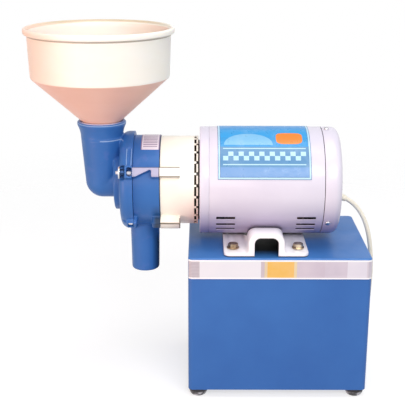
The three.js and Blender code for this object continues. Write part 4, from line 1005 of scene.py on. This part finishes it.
def adapter_shade_and_bare(finish, ivory):
    """Bare dark metal inside, which also stands for the shade seen through the windows; painted
    shade lines along the lug edges and the lug ends, and painted warm shade low by the windows.
    """
    x, _, z = finish.places()
    warm = finish.span(x, -30, 8) & finish.span(z, SHAFT + 12, SHAFT - 46)
    warm_shade = finish.blend(warm * 0.9, ivory, (240, 200, 186))
    sides = []
    for angle in (CLAMPED[0], DOWELLED[0]):
        out, across = finish.along_lug(angle)
        sides.append((abs(across) > 6) & out.between(77.6, 80.2))
    end = (out > 70) & x.between(-13.5, -11.9)
    edges_shaded = finish.blend((end | sides[0] | sides[1]) * 0.9, warm_shade, (96, 84, 66))
    bare = finish.mottle(50, 5, (66, 58, 52), (44, 38, 36), 0.4)
    return finish.blend(finish.reach() < 64.2, edges_shaded, bare)


adapter_paint = paint("adapter_paint", (255, 253, 243), (253, 246, 232), 0.4, 500, 0.0003,
                      coat=0.2, marks=adapter_shade_and_bare)
finish_piece(motor_adapter(), "adapter_ring", adapter_paint, "motor_adapter")

# %% [markdown]
# ## The dark gauze
# A strip of dark wire gauze lines the ring behind the windows. It is a dark sheet put there as
# painted shade, so that the windows look dark. It is a thin cone spun to the ring's inner slope,
# and the weave is a fine bump.

# %% Shade gauze
def shade_gauze_wire():
    finish = Finish("shade_gauze_wire", 0.6, 0.4)
    return finish.done(finish.mottle(120, 4, (84, 74, 60), (58, 50, 42)),
                       grain=(1400, 2, 0.8, 0.0004))


gauze = turned([(58.82, 6.6), (57.41, 13), (57.06, 13), (58.47, 6.6)], SHAFT_LINE, "X", 96,
               closed=True)
finish_piece(gauze, "shade_gauze", shade_gauze_wire())

# %% [markdown]
# ## The motor's housing
# The shell is rolled steel sheet with pressed louvres low on each side. It sits between a front
# shield and a deep rear cap, and each joint shows as a thin dark line because the edges are
# slightly rounded and the shell's inside, which shows in the gap, is painted nearly black as shade.
# Each louvre is a slot with a raised lip under it, and the same dark inside shows through it.

# %% Motor housing
SLOT_ANGLES = (-28.6, -39.0, -48.5)
SLOT_STARTS = (40.4, 157.3)
SLOT_LENGTH = 27.4
CAP_SCREWS = (-36.0, 84.0, 204.0)
CAP_SCREW_X = 202.7
CAP_OPENINGS = [45 * i + 22.5 for i in range(8)]


def cap_screw_holes():
    return [radial_rod(turn, CAP_SCREW_X, 2.3, 66, 90) for turn in CAP_SCREWS]


def motor_shell():
    shell = as_object(turned([(78, 30.1), (80, 30.1, 0.3), (80, 195, 0.4), (74.7, 195),
                              (74.7, 205), (72.7, 205), (72.7, 193), (78, 193)],
                             SHAFT_LINE, "X", 160, closed=True), "shell")
    lips, slots = [], []
    for angle in SLOT_ANGLES:
        for turn, below in ((angle, angle - 2.3), (-180 - angle, -180 - angle + 2.3)):
            for x in SLOT_STARTS:
                end = x + SLOT_LENGTH
                slots.append(radial_block(turn, 70, 86, 4.8, x, end))
                slots.append(radial_block(turn, 70, 79.2, 7.0, x, end))
                lips.append(radial_block(below, 79.3, 80.7, 1.8, x - 0.5, end + 0.5, 0.5))
    combine(shell, merge(*lips), "UNION")
    return cut(shell, *slots, *cap_screw_holes())


def end_cap():
    cap = as_object(turned([(0, 221), (80, 221, 10.5), (80, 195.9, 0.4), (77, 195.9), (77, 216, 6),
                            (24.8, 216), (24.8, 205.7), (20.3, 205.7), (20.3, 218), (0, 218)],
                           SHAFT_LINE, "X", 160), "cap")
    slots = [radial_block(angle, 33, 62, 6, 214, 226) for angle in CAP_OPENINGS]
    slots += [rod(3, 214, 226, on_lug(angle, end), 24) for angle in CAP_OPENINGS
              for end in (33, 62)]
    return cut(cap, *slots, *cap_screw_holes())


def front_shield():
    shield = as_object(turned([(12.5, 16.3), (80, 16.3, 1.6), (80, 29.9, 0.3), (77.7, 29.9),
                               (77.7, 35.8), (74.7, 35.8), (74.7, 21.3), (28.3, 21.3),
                               (28.3, 35.6), (23.8, 35.6), (23.8, 21.3), (12.5, 21.3)],
                              SHAFT_LINE, "X", 160, closed=True), "shield")
    return cut(shield, *[rod(8, 12, 26, on_lug(90 * i, 52), 40) for i in range(4)])


def shell_dark_inside(finish, grey):
    """The shell is nearly black inside: bare steel, painted darker as the shade in the louvres and
    the joints.
    """
    return finish.blend(finish.reach() < 79.5, violet_shade_below(finish, grey), (12, 11, 13))


shell_paint = paint("shell_paint", *GREY, **GREY_COAT, marks=shell_dark_inside)
finish_piece(motor_shell(), "motor_shell_sheet", shell_paint, "motor_shell")
finish_piece(end_cap(), "motor_rear_cap", grey_paint, "motor_end_cap")
finish_piece(front_shield(), "motor_front_ring", grey_paint, "motor_front_shield")

# %% [markdown]
# ## The motor's foot
# One thick plate is pressed up into an arch that runs across under the motor. Its end view is a
# closed outline with rounded corners, pushed out 192 mm across the stand. A cylinder the size of
# the motor cuts the saddle, and four holes take the bolts.

# %% Foot
MIDDLE = 112.55
FOOT_BASE = 222.3
FOOT_BOLTS = [(MIDDLE + side * 47.4, front * 71.5) for side in (-1, 1) for front in (-1, 1)]


def bolt_holes(bottom, top):
    return [post(4.3, bottom, top, at(x, y, 0)) for x, y in FOOT_BOLTS]


def saddle_relief():
    """A slightly larger cylinder without its middle, which opens a thin gap at the rims."""
    relief = as_object(rod(82.2, -20, 240, SHAFT_LINE, 192), "relief")
    return taken(cut(relief, bar(at(-40, -46, 200), at(260, 46, 420))))


def pressed_foot():
    outline = [(-61, 0), (-17.3, 0), (-17.3, 28.5, 9), (17.3, 28.5, 9), (17.3, 0), (61, 0), (61, 5),
               (25.5, 5, 6), (25.5, 33.5, 12), (-25.5, 33.5, 12), (-25.5, 5, 6), (-61, 5)]
    bm = bmesh.new()
    wire = [bm.verts.new(at(MIDDLE + p[0], -96, FOOT_BASE + p[1])) for p in outline]
    for pair in zip(wire, wire[1:] + wire[:1]):
        bm.edges.new(pair)
    round_corners(bm, wire, outline, 8)
    push_back(bm, bmesh.ops.contextual_create(bm, geom=bm.edges[:])["faces"], 0.192)
    corners = [e for e in upright_edges(bm)
               if abs(abs(e.verts[0].co.x - at(MIDDLE, 0, 0).x) - 0.061) < 1e-5]
    soften(bm, corners, 0.009, 8)
    bmesh.ops.recalc_face_normals(bm, faces=bm.faces)
    foot = as_object(bm, "foot")
    cut(foot, rod(80.2, -20, 240, SHAFT_LINE, 192))
    cut(foot, saddle_relief())
    cut(foot, *bolt_holes(215, 235))
    return ease_edges(foot, 0.0007, 40)


def foot_shade(finish, white):
    """Painted shadow where the shell and the lid touch the foot, and painted shade inside the arch.
    """
    x, y, z = finish.places()
    crease_shadow = finish.span(finish.reach(), 83.8, 84.5, 1.0, 0.0)
    under = finish.span(z, FOOT_BASE + 0.8, FOOT_BASE + 1.8, 1.0, 0.0)
    inside = (y.between(-95.2, 95.2) & (z < 251.2)
              & x.between(MIDDLE - 17.8, MIDDLE + 17.8))
    shadowed = finish.blend(crease_shadow | under, white, (38, 34, 44))
    return finish.blend(inside, shadowed, (44, 42, 48))


foot_paint = paint("foot_paint", (252, 250, 252), (246, 242, 248), 0.36, 800, 0.0001,
                   marks=foot_shade)
finish_piece(pressed_foot(), "pressed_motor_foot", foot_paint, "motor_foot")

# %% [markdown]
# ## Nuts, bolts and screws
# A bolt head is a hexagon whose corners are turned off. The hexagon is cut by a cone, as a lathe
# does it, with a washer under it. Cap screws have a low round head with a slot. The hand nuts have
# a scalloped rim for the fingers.

# %% Fasteners
def hexagon(radius, bottom, top, centre, axis="Z", chamfer=0.6):
    """A nut or bolt head of that radius over its corners, with turned corners."""
    flat = radius * math.cos(math.pi / 6) + 0.3
    cone = turned([(0, bottom), (flat, bottom), (radius, bottom + chamfer),
                   (radius, top - chamfer), (flat, top), (0, top)], (0, 0, 0), "Z", 48)
    piece = as_object(post(radius, bottom, top, (0, 0, 0), 6), "hexagon")
    return placed(taken(combine(piece, cone, "INTERSECT")), centre, 90 if axis == "X" else 0, "Y")


def foot_bolt(x, y):
    centre = at(x, y, 0)
    washer = turned([(4.1, 227.9), (9, 227.9, 0.4), (9, 229.5, 0.4), (4.1, 229.5)], centre, "Z", 40,
                    closed=True)
    shank = turned([(0, 214), (4, 214, 0.6), (4, 229.6), (0, 229.6)], centre, "Z", 24)
    head = hexagon(7.4, 229.5, 234.8, centre)
    crown = turned([(0, 234.5), (4.6, 234.5), (4.2, 235.0), (0, 235.0)], centre, "Z", 32)
    return merge(washer, shank, head, crown)


def cap_screw(angle):
    head = radial_rod(angle, CAP_SCREW_X, 4, 80.3, 82.3, 32, 1.3)
    shank = radial_rod(angle, CAP_SCREW_X, 2, 72, 80.5, 20)
    slot = turn_about_shaft(bar(at(198, -84, SHAFT - 0.4), at(208, -81.5, SHAFT + 0.4)), angle)
    return cut(as_object(merge(head, shank), "screw"), slot)


for number, (x, y) in enumerate(FOOT_BOLTS, 1):
    finish_piece(foot_bolt(x, y), f"foot_bolt_head_{number}", aged_zinc,
                 f"foot_bolt_{number}")
for number, angle in enumerate(CAP_SCREWS, 1):
    finish_piece(cap_screw(angle), f"cap_screw_head_{number}", plated_steel,
                 f"cap_screw_{number}")

# %% Clamps
def hand_nut(angle):
    centre = on_lug(angle)
    piece = as_object(merge(rod(9.2, -99.9, -97.5, centre, 64, 0.4),
                            rod(4.6, -98.7, -91.2, centre, 40, 0.4)), "nut")
    grooves = []
    for i in range(16):
        turn = math.radians(22.5 * i)
        spot = centre + Vector((0, -math.cos(turn), math.sin(turn))) * 0.0098
        grooves.append(rod(1.2, -106, -100, spot, 12))
    cut(piece, *grooves)
    return cut(piece, rod(3.3, -108, -92, centre))


def clamp_stud(angle):
    corners = [(0, -103.9), (2.5, -103.9, 0.3)]
    for i in range(23):
        corners += [(3.0, -103.4 + i), (2.65, -102.9 + i)]
    corners += [(3.0, -80.4), (3.0, -71), (0, -71)]
    return turned(corners, on_lug(angle), "X", 24)


def adjuster(angle):
    piece = as_object(hexagon(5.7, -87.6, -81.7, on_lug(angle), "X", 0.5), "adjuster")
    return cut(piece, rod(3.3, -95, -80, on_lug(angle)))


def nut_steel():
    """Plated steel, bright on the rim and dark blue on the hub."""
    finish = Finish("nut_steel", 0.3, 0.8)
    x, _, _ = finish.places()
    rim = finish.mottle(70, 5, (236, 240, 244), (206, 212, 220))
    hub = finish.mottle(70, 5, (52, 82, 128), (34, 56, 92))
    return finish.done(finish.blend(x > -97.7, rim, hub), (260, 4, 0.24, 0.46, 0.75),
                       (1500, 2, 0.25, 0.00012))


nut_metal = nut_steel()
for number, (angle, body) in enumerate(zip(CLAMPED, ("hand_nut_front", "hand_nut_rear")), 1):
    finish_piece(hand_nut(angle), f"scalloped_nut_{number}", nut_metal,
                 f"hand_nut_{number}", body)
    finish_piece(clamp_stud(angle), f"threaded_stud_{number}", plated_steel,
                 f"clamp_stud_{number}")
for number, angle in enumerate(LUGS, 1):
    finish_piece(adjuster(angle), f"adjusting_hexagon_{number}", plated_steel,
                 f"adjusting_nut_{number}")

# %% [markdown]
# ## The stand
# The stand is folded sheet steel, so its edges are round and its faces flat. The lid is a tray
# turned upside down over the cabinet. Each starts as a block with bevelled edges, and an inset and
# a step up hollow it. The opening in the cabinet's back is closed by a panel inside the wall.

# %% Stand
SHEET = 0.002
REAR_SCREWS = [(x, z) for z in (35, 168.7) for x in (22, 132.5, 243)]


def rounded_tray(low, high, corner, top_edge, ceiling):
    """A tray upside down: round corners, a rounded top edge and a hollow from below."""
    bm = bar(low, high)
    soften(bm, upright_edges(bm), corner, 8)
    if top_edge:
        top = [e for e in bm.edges if all(abs(v.co.z - high[2]) < 1e-6 for v in e.verts)]
        soften(bm, top, top_edge, 4)
    under = [f for f in bm.faces if f.normal.z < -0.9]
    bmesh.ops.inset_region(bm, faces=under, thickness=SHEET, use_even_offset=True)
    under = [f for f in bm.faces if f.normal.z < -0.9 and f.calc_area() > 0.01]
    bmesh.ops.translate(bm, vec=(0, 0, ceiling - low[2]), verts=under[0].verts)
    return bm


def stand_lid():
    lid = as_object(rounded_tray(at(0, -101.5, 191), at(265, 101.5, 222), 0.007, 0.0024, 0.220),
                    "lid")
    return cut(lid, *bolt_holes(200, 230))


def stand_cabinet():
    box = as_object(rounded_tray(at(0, -101.5, 13), at(265, 101.5, 190.7), 0.007, 0.0004, 0.1877),
                    "cabinet")
    cut(box, rounded_tray(at(4.3, -97.2, 180), at(260.7, 97.2, 240), 0.003, 0, 0.230))
    collar = as_object(rounded_tray(at(2.3, -99.2, 187), at(262.7, 99.2, 215), 0.005, 0, 0.2149),
                       "collar")
    cut(collar, bar(at(4.3, -97.2, 180), at(260.7, 97.2, 230)))
    combine(box, collar, "UNION")
    cut(box, bar(at(26, 90, 39), at(239, 110, 164.7)))
    return cut(box, *[placed(post(1.7, -5, 5, (0, 0, 0), 20), at(x, 101, z), 90)
                      for x, z in REAR_SCREWS])


def lid_shade(finish, blue):
    """Painted shade: the lid is dark inside the foot's arch."""
    x, y, _ = finish.places()
    under = x.between(MIDDLE - 17.4, MIDDLE + 17.4) & finish.span(abs(y), 86, 66)
    return finish.blend(under, blue, (18, 24, 26))


# The lid's blue is a lighter copy of the sheet blue, which lifts the shade that the motor casts on
# the lid.
lid_paint = paint("lid_paint", (62, 120, 190), (56, 112, 182), **SHEET_COAT, marks=lid_shade)
finish_piece(stand_lid(), "folded_lid", lid_paint, "stand_lid")
finish_piece(stand_cabinet(), "folded_cabinet", blue_sheet_paint, "stand_cabinet")

# %% [markdown]
# ## Small parts of the stand
# Four rubber feet are held by screws in their recesses, and six screws hold the rear panel. A foot
# is one closed outline. A pan-head screw is a low dome with a cross, cut by two thin blocks.

# %% Feet and screws
FOOT_PLACES = [(x, y) for x in (15, 250) for y in (-86.5, 86.5)]


def rubber_foot(x, y):
    return turned([(0, 6), (5, 6), (5, 0, 0.6), (10.4, 0, 2.2), (13.6, 5.5, 2.4), (14, 12.7, 0.5),
                   (0, 12.7)], at(x, y, 0), "Z", 64)


def pan_screw(radius, height, slot):
    """A pan head with a cross, standing on the origin along Z."""
    head = as_object(turned([(0, 0), (radius, 0), (radius, height, height * 0.7), (0, height)],
                            (0, 0, 0), "Z", 32), "pan_screw")
    arm, thin, deep = radius * 0.62 / 1000, slot / 2000, (height - 0.8) / 1000
    for x, y in ((arm, thin), (thin, arm)):
        cut(head, bar((-x, -y, deep), (x, y, 0.01)))
    return taken(head)


for number, (x, y) in enumerate(FOOT_PLACES, 1):
    finish_piece(rubber_foot(x, y), f"rubber_foot_round_{number}", foot_rubber,
                 f"rubber_foot_{number}")
screws = [placed(pan_screw(3.9, 2.2, 1.0), at(x, y, 6), 180) for x, y in FOOT_PLACES]
screws += [placed(pan_screw(3.4, 2.0, 0.9), at(x, 101.5, z), -90) for x, z in REAR_SCREWS]
finish_piece(merge(*screws), "stand_screws", plated_steel)

# %% [markdown]
# ## The printed band
# A printed film runs across the front of the lid and follows its round corners. The print is a
# plain scheme of flat fields and fine lines: a lined grey end, a pale field, an amber one between
# two tan lines, and a long mauve one that turns paler to the right. The film is the outer skin of a
# rounded block, cut to size, with a solidify step for its thickness. The print reads Object
# coordinates, so that it can't slide.

# %% Band
BAND_LENGTH = 265
LINED_END = 15.7


def band_film():
    bm = bar(at(-0.9, -102.5, 191), at(265.9, 102.5, 219.8))
    soften(bm, upright_edges(bm), 0.008, 10)
    caps = [f for f in bm.faces if abs(f.normal.z) > 0.9]
    bmesh.ops.delete(bm, geom=caps, context="FACES")
    for place, side in ((at(0.5, 0, 0), (-1, 0, 0)), (at(264.5, 0, 0), (1, 0, 0)),
                        (at(0, -90, 0), (0, 1, 0))):
        slice_off(bm, place, side)
    bmesh.ops.recalc_face_normals(bm, faces=bm.faces)
    if sum(f.normal.y * f.calc_area() for f in bm.faces) > 0:
        bmesh.ops.reverse_faces(bm, faces=bm.faces)
    bmesh.ops.solidify(bm, geom=bm.faces[:], thickness=0.0007)
    bmesh.ops.recalc_face_normals(bm, faces=bm.faces)
    return bm


def band_print():
    finish = Finish("band_print", 0.36)
    x, _, z = finish.places()
    stops = [(0, (192, 184, 192)), (LINED_END, (226, 225, 233)), (103.9, (193, 180, 190)),
             (109.6, (216, 196, 160)), (113.2, (230, 178, 68)), (152.0, (220, 200, 156)),
             (156.2, (197, 185, 200)), (196.0, (200, 190, 205)), (228.0, (217, 213, 226)),
             (256.0, (206, 198, 210)), (258.0, (194, 186, 200)), (261.0, (212, 206, 216))]
    fields = finish.panels(finish.span(x, 0, BAND_LENGTH),
                           [(place / BAND_LENGTH, colour) for place, colour in stops])
    lines = (z / 2.2 % 1.0 > 0.55) & (x < LINED_END)
    striped = finish.blend(lines, fields, (174, 162, 174))
    framed = finish.blend((z < 193.2) | (z > 217.6), striped, (248, 246, 250))
    faded = finish.span(finish.noise(16, 4), 0.4, 0.75, 0.0, 0.22)
    return finish.done(finish.blend(faded, framed, (252, 244, 246)), (90, 4, 0.3, 0.46),
                       (600, 2, 0.2, 0.00008))


finish_piece(band_film(), "printed_band", band_print(), "front_band", angle=30)

# %% [markdown]
# ## The motor's plate
# The printed plate is bent round the shell. Its outline is a thin strip of the plate's length,
# spun by 105 degrees round the shaft. The print is made of plain shapes: a double border, fields of
# blue, two rows of checks between two rules, a pale rounded hill and an orange block. The pattern's
# height is the arc along the shell, which comes from the angle round the shaft.

# %% Motor plate
PLATE_START, PLATE_END = 42.3, 175.5
PLATE_LOW, PLATE_HIGH = 15.4, 120
PLATE_RADIUS = 80.6
ROW_START, ROW_END = 7.4, 125.8


def bent_strip(start, end, radius, thick, low, high, steps):
    """A strip bent round the shaft between two angles, as a closed thin solid."""
    bm = bmesh.new()
    inner, outer = radius, radius + thick
    face = bm.faces.new([bm.verts.new(at(x, -r, SHAFT)) for x, r in
                         ((start, inner), (end, inner), (end, outer), (start, outer))])
    turn_about_shaft(bm, low)
    bmesh.ops.spin(bm, geom=[face], cent=SHAFT_LINE, axis=(1, 0, 0),
                   angle=-math.radians(high - low), steps=steps)
    bmesh.ops.remove_doubles(bm, verts=bm.verts, dist=1e-6)
    bmesh.ops.recalc_face_normals(bm, faces=bm.faces)
    return bm


def plate_print():
    finish = Finish("plate_print", 0.3)
    x, y, z = finish.places()
    turn = finish.math("ARCTAN2", z - SHAFT, y * -1.0)
    u, v = x - PLATE_START, turn * PLATE_RADIUS - math.radians(PLATE_LOW) * PLATE_RADIUS

    def box(left, right, low, high):
        return u.between(left, right) & v.between(low, high)

    def border(inset, line):
        left, right, low, high = inset, 133.2 - inset, inset, 146.0 - inset
        return box(left, right, low, high) - box(left + line, right - line, low + line,
                                                 high - line)

    printed = finish.panels(finish.span(v, 0, 147), [
        (0.0, (100, 148, 204)), (0.118, (84, 138, 184)), (0.340, (30, 146, 212)),
        (0.47, (26, 152, 220)), (0.62, (24, 142, 212)), (0.80, (30, 150, 218))])
    tiles = finish.math("FLOOR", u / 7.4) + finish.math("FLOOR", v / 7.0)
    checks = (abs(tiles % 2.0 - 1.0) < 0.5) & box(ROW_START, ROW_END, 28.0, 42.0)
    rules = box(ROW_START, ROW_END, 21.0, 22.6) | box(ROW_START, ROW_END, 46.6, 48.2)
    printed = finish.blend(checks | rules | border(0.7, 2.3), printed, (178, 218, 238))
    hill = (((u - 44.0) / 35.0) ** 2.0 + ((v - 54.0) / 24.0) ** 2.0 < 1.0) & (v > 54.0)
    printed = finish.blend(hill, printed, (120, 184, 226))
    block = (abs(u - 103.0) / 19.0) ** 4.0 + (abs(v - 68.0) / 12.5) ** 4.0 < 1.0
    printed = finish.blend(block, printed, (236, 128, 24))
    printed = finish.blend(border(0.0, 0.7) | border(3.0, 0.6), printed, (60, 96, 150))
    worn = finish.span(finish.noise(40, 5), 0.55, 0.8, 0.0, 0.2)
    return finish.done(finish.blend(worn, printed, (190, 214, 236)), (120, 4, 0.24, 0.42),
                       (700, 2, 0.15, 0.00006))


plate = bent_strip(PLATE_START, PLATE_END, 80.15, 0.6, PLATE_LOW, PLATE_HIGH, 56)
finish_piece(plate, "printed_motor_plate", plate_print(), "motor_name_plate",
             angle=30)

# %% [markdown]
# ## The drum's label
# A white label lies over the top of the drum. It is a strip bent round the drum as the motor's
# plate is, with a line at each end and plain ruled lines between them.

# %% Drum label
def label_print():
    finish = Finish("label_print", 0.4)
    x, y, z = finish.places()
    turn = finish.math("ARCTAN2", z - SHAFT, abs(y))
    ends = (x < -67.9) | (x > -43.5)
    ruled = x.between(-66.0, -45.4) & (turn > math.radians(60)) & (turn * 15.0 % 1.0 > 0.6)
    paper = finish.mottle(30, 4, (236, 228, 238), (222, 212, 226))
    return finish.done(finish.blend(ends | ruled, paper, (140, 122, 158)), (90, 3, 0.34, 0.5),
                       (500, 2, 0.2, 0.0001))


finish_piece(bent_strip(-69.3, -42.1, 67.05, 0.35, 55.4, 124.6, 36), "drum_label", label_print(),
             angle=30)

# %% [markdown]
# ## The pieces that stay as they are
# The pieces inside keep their CAD shapes and get their own finishes, because they show only through
# the windows and slots, or when the machine is taken apart.

# %% Inner pieces
dress(turned_steel, "motor_shaft", "front_bearing", "rear_bearing", "stone_carrier", "feed_auger",
      "adapter_screw_1", "adapter_screw_2", "adapter_screw_3", "adapter_screw_4")
dress(blue_cast_paint, "cover_dowel_1", "cover_dowel_2")
dress(laminations, "stator_core", "rotor_core")
dress(copper_wire, "stator_winding_front", "stator_winding_rear")
dress(stone_grit, "fixed_stone", "running_stone")
dress(fan_plastic, "cooling_fan")
dress(black_rubber, "shaft_seal", "cover_gasket")
dress(blue_sheet_paint, "stand_base_plate", "stand_rear_panel")
print("inner pieces are dressed")
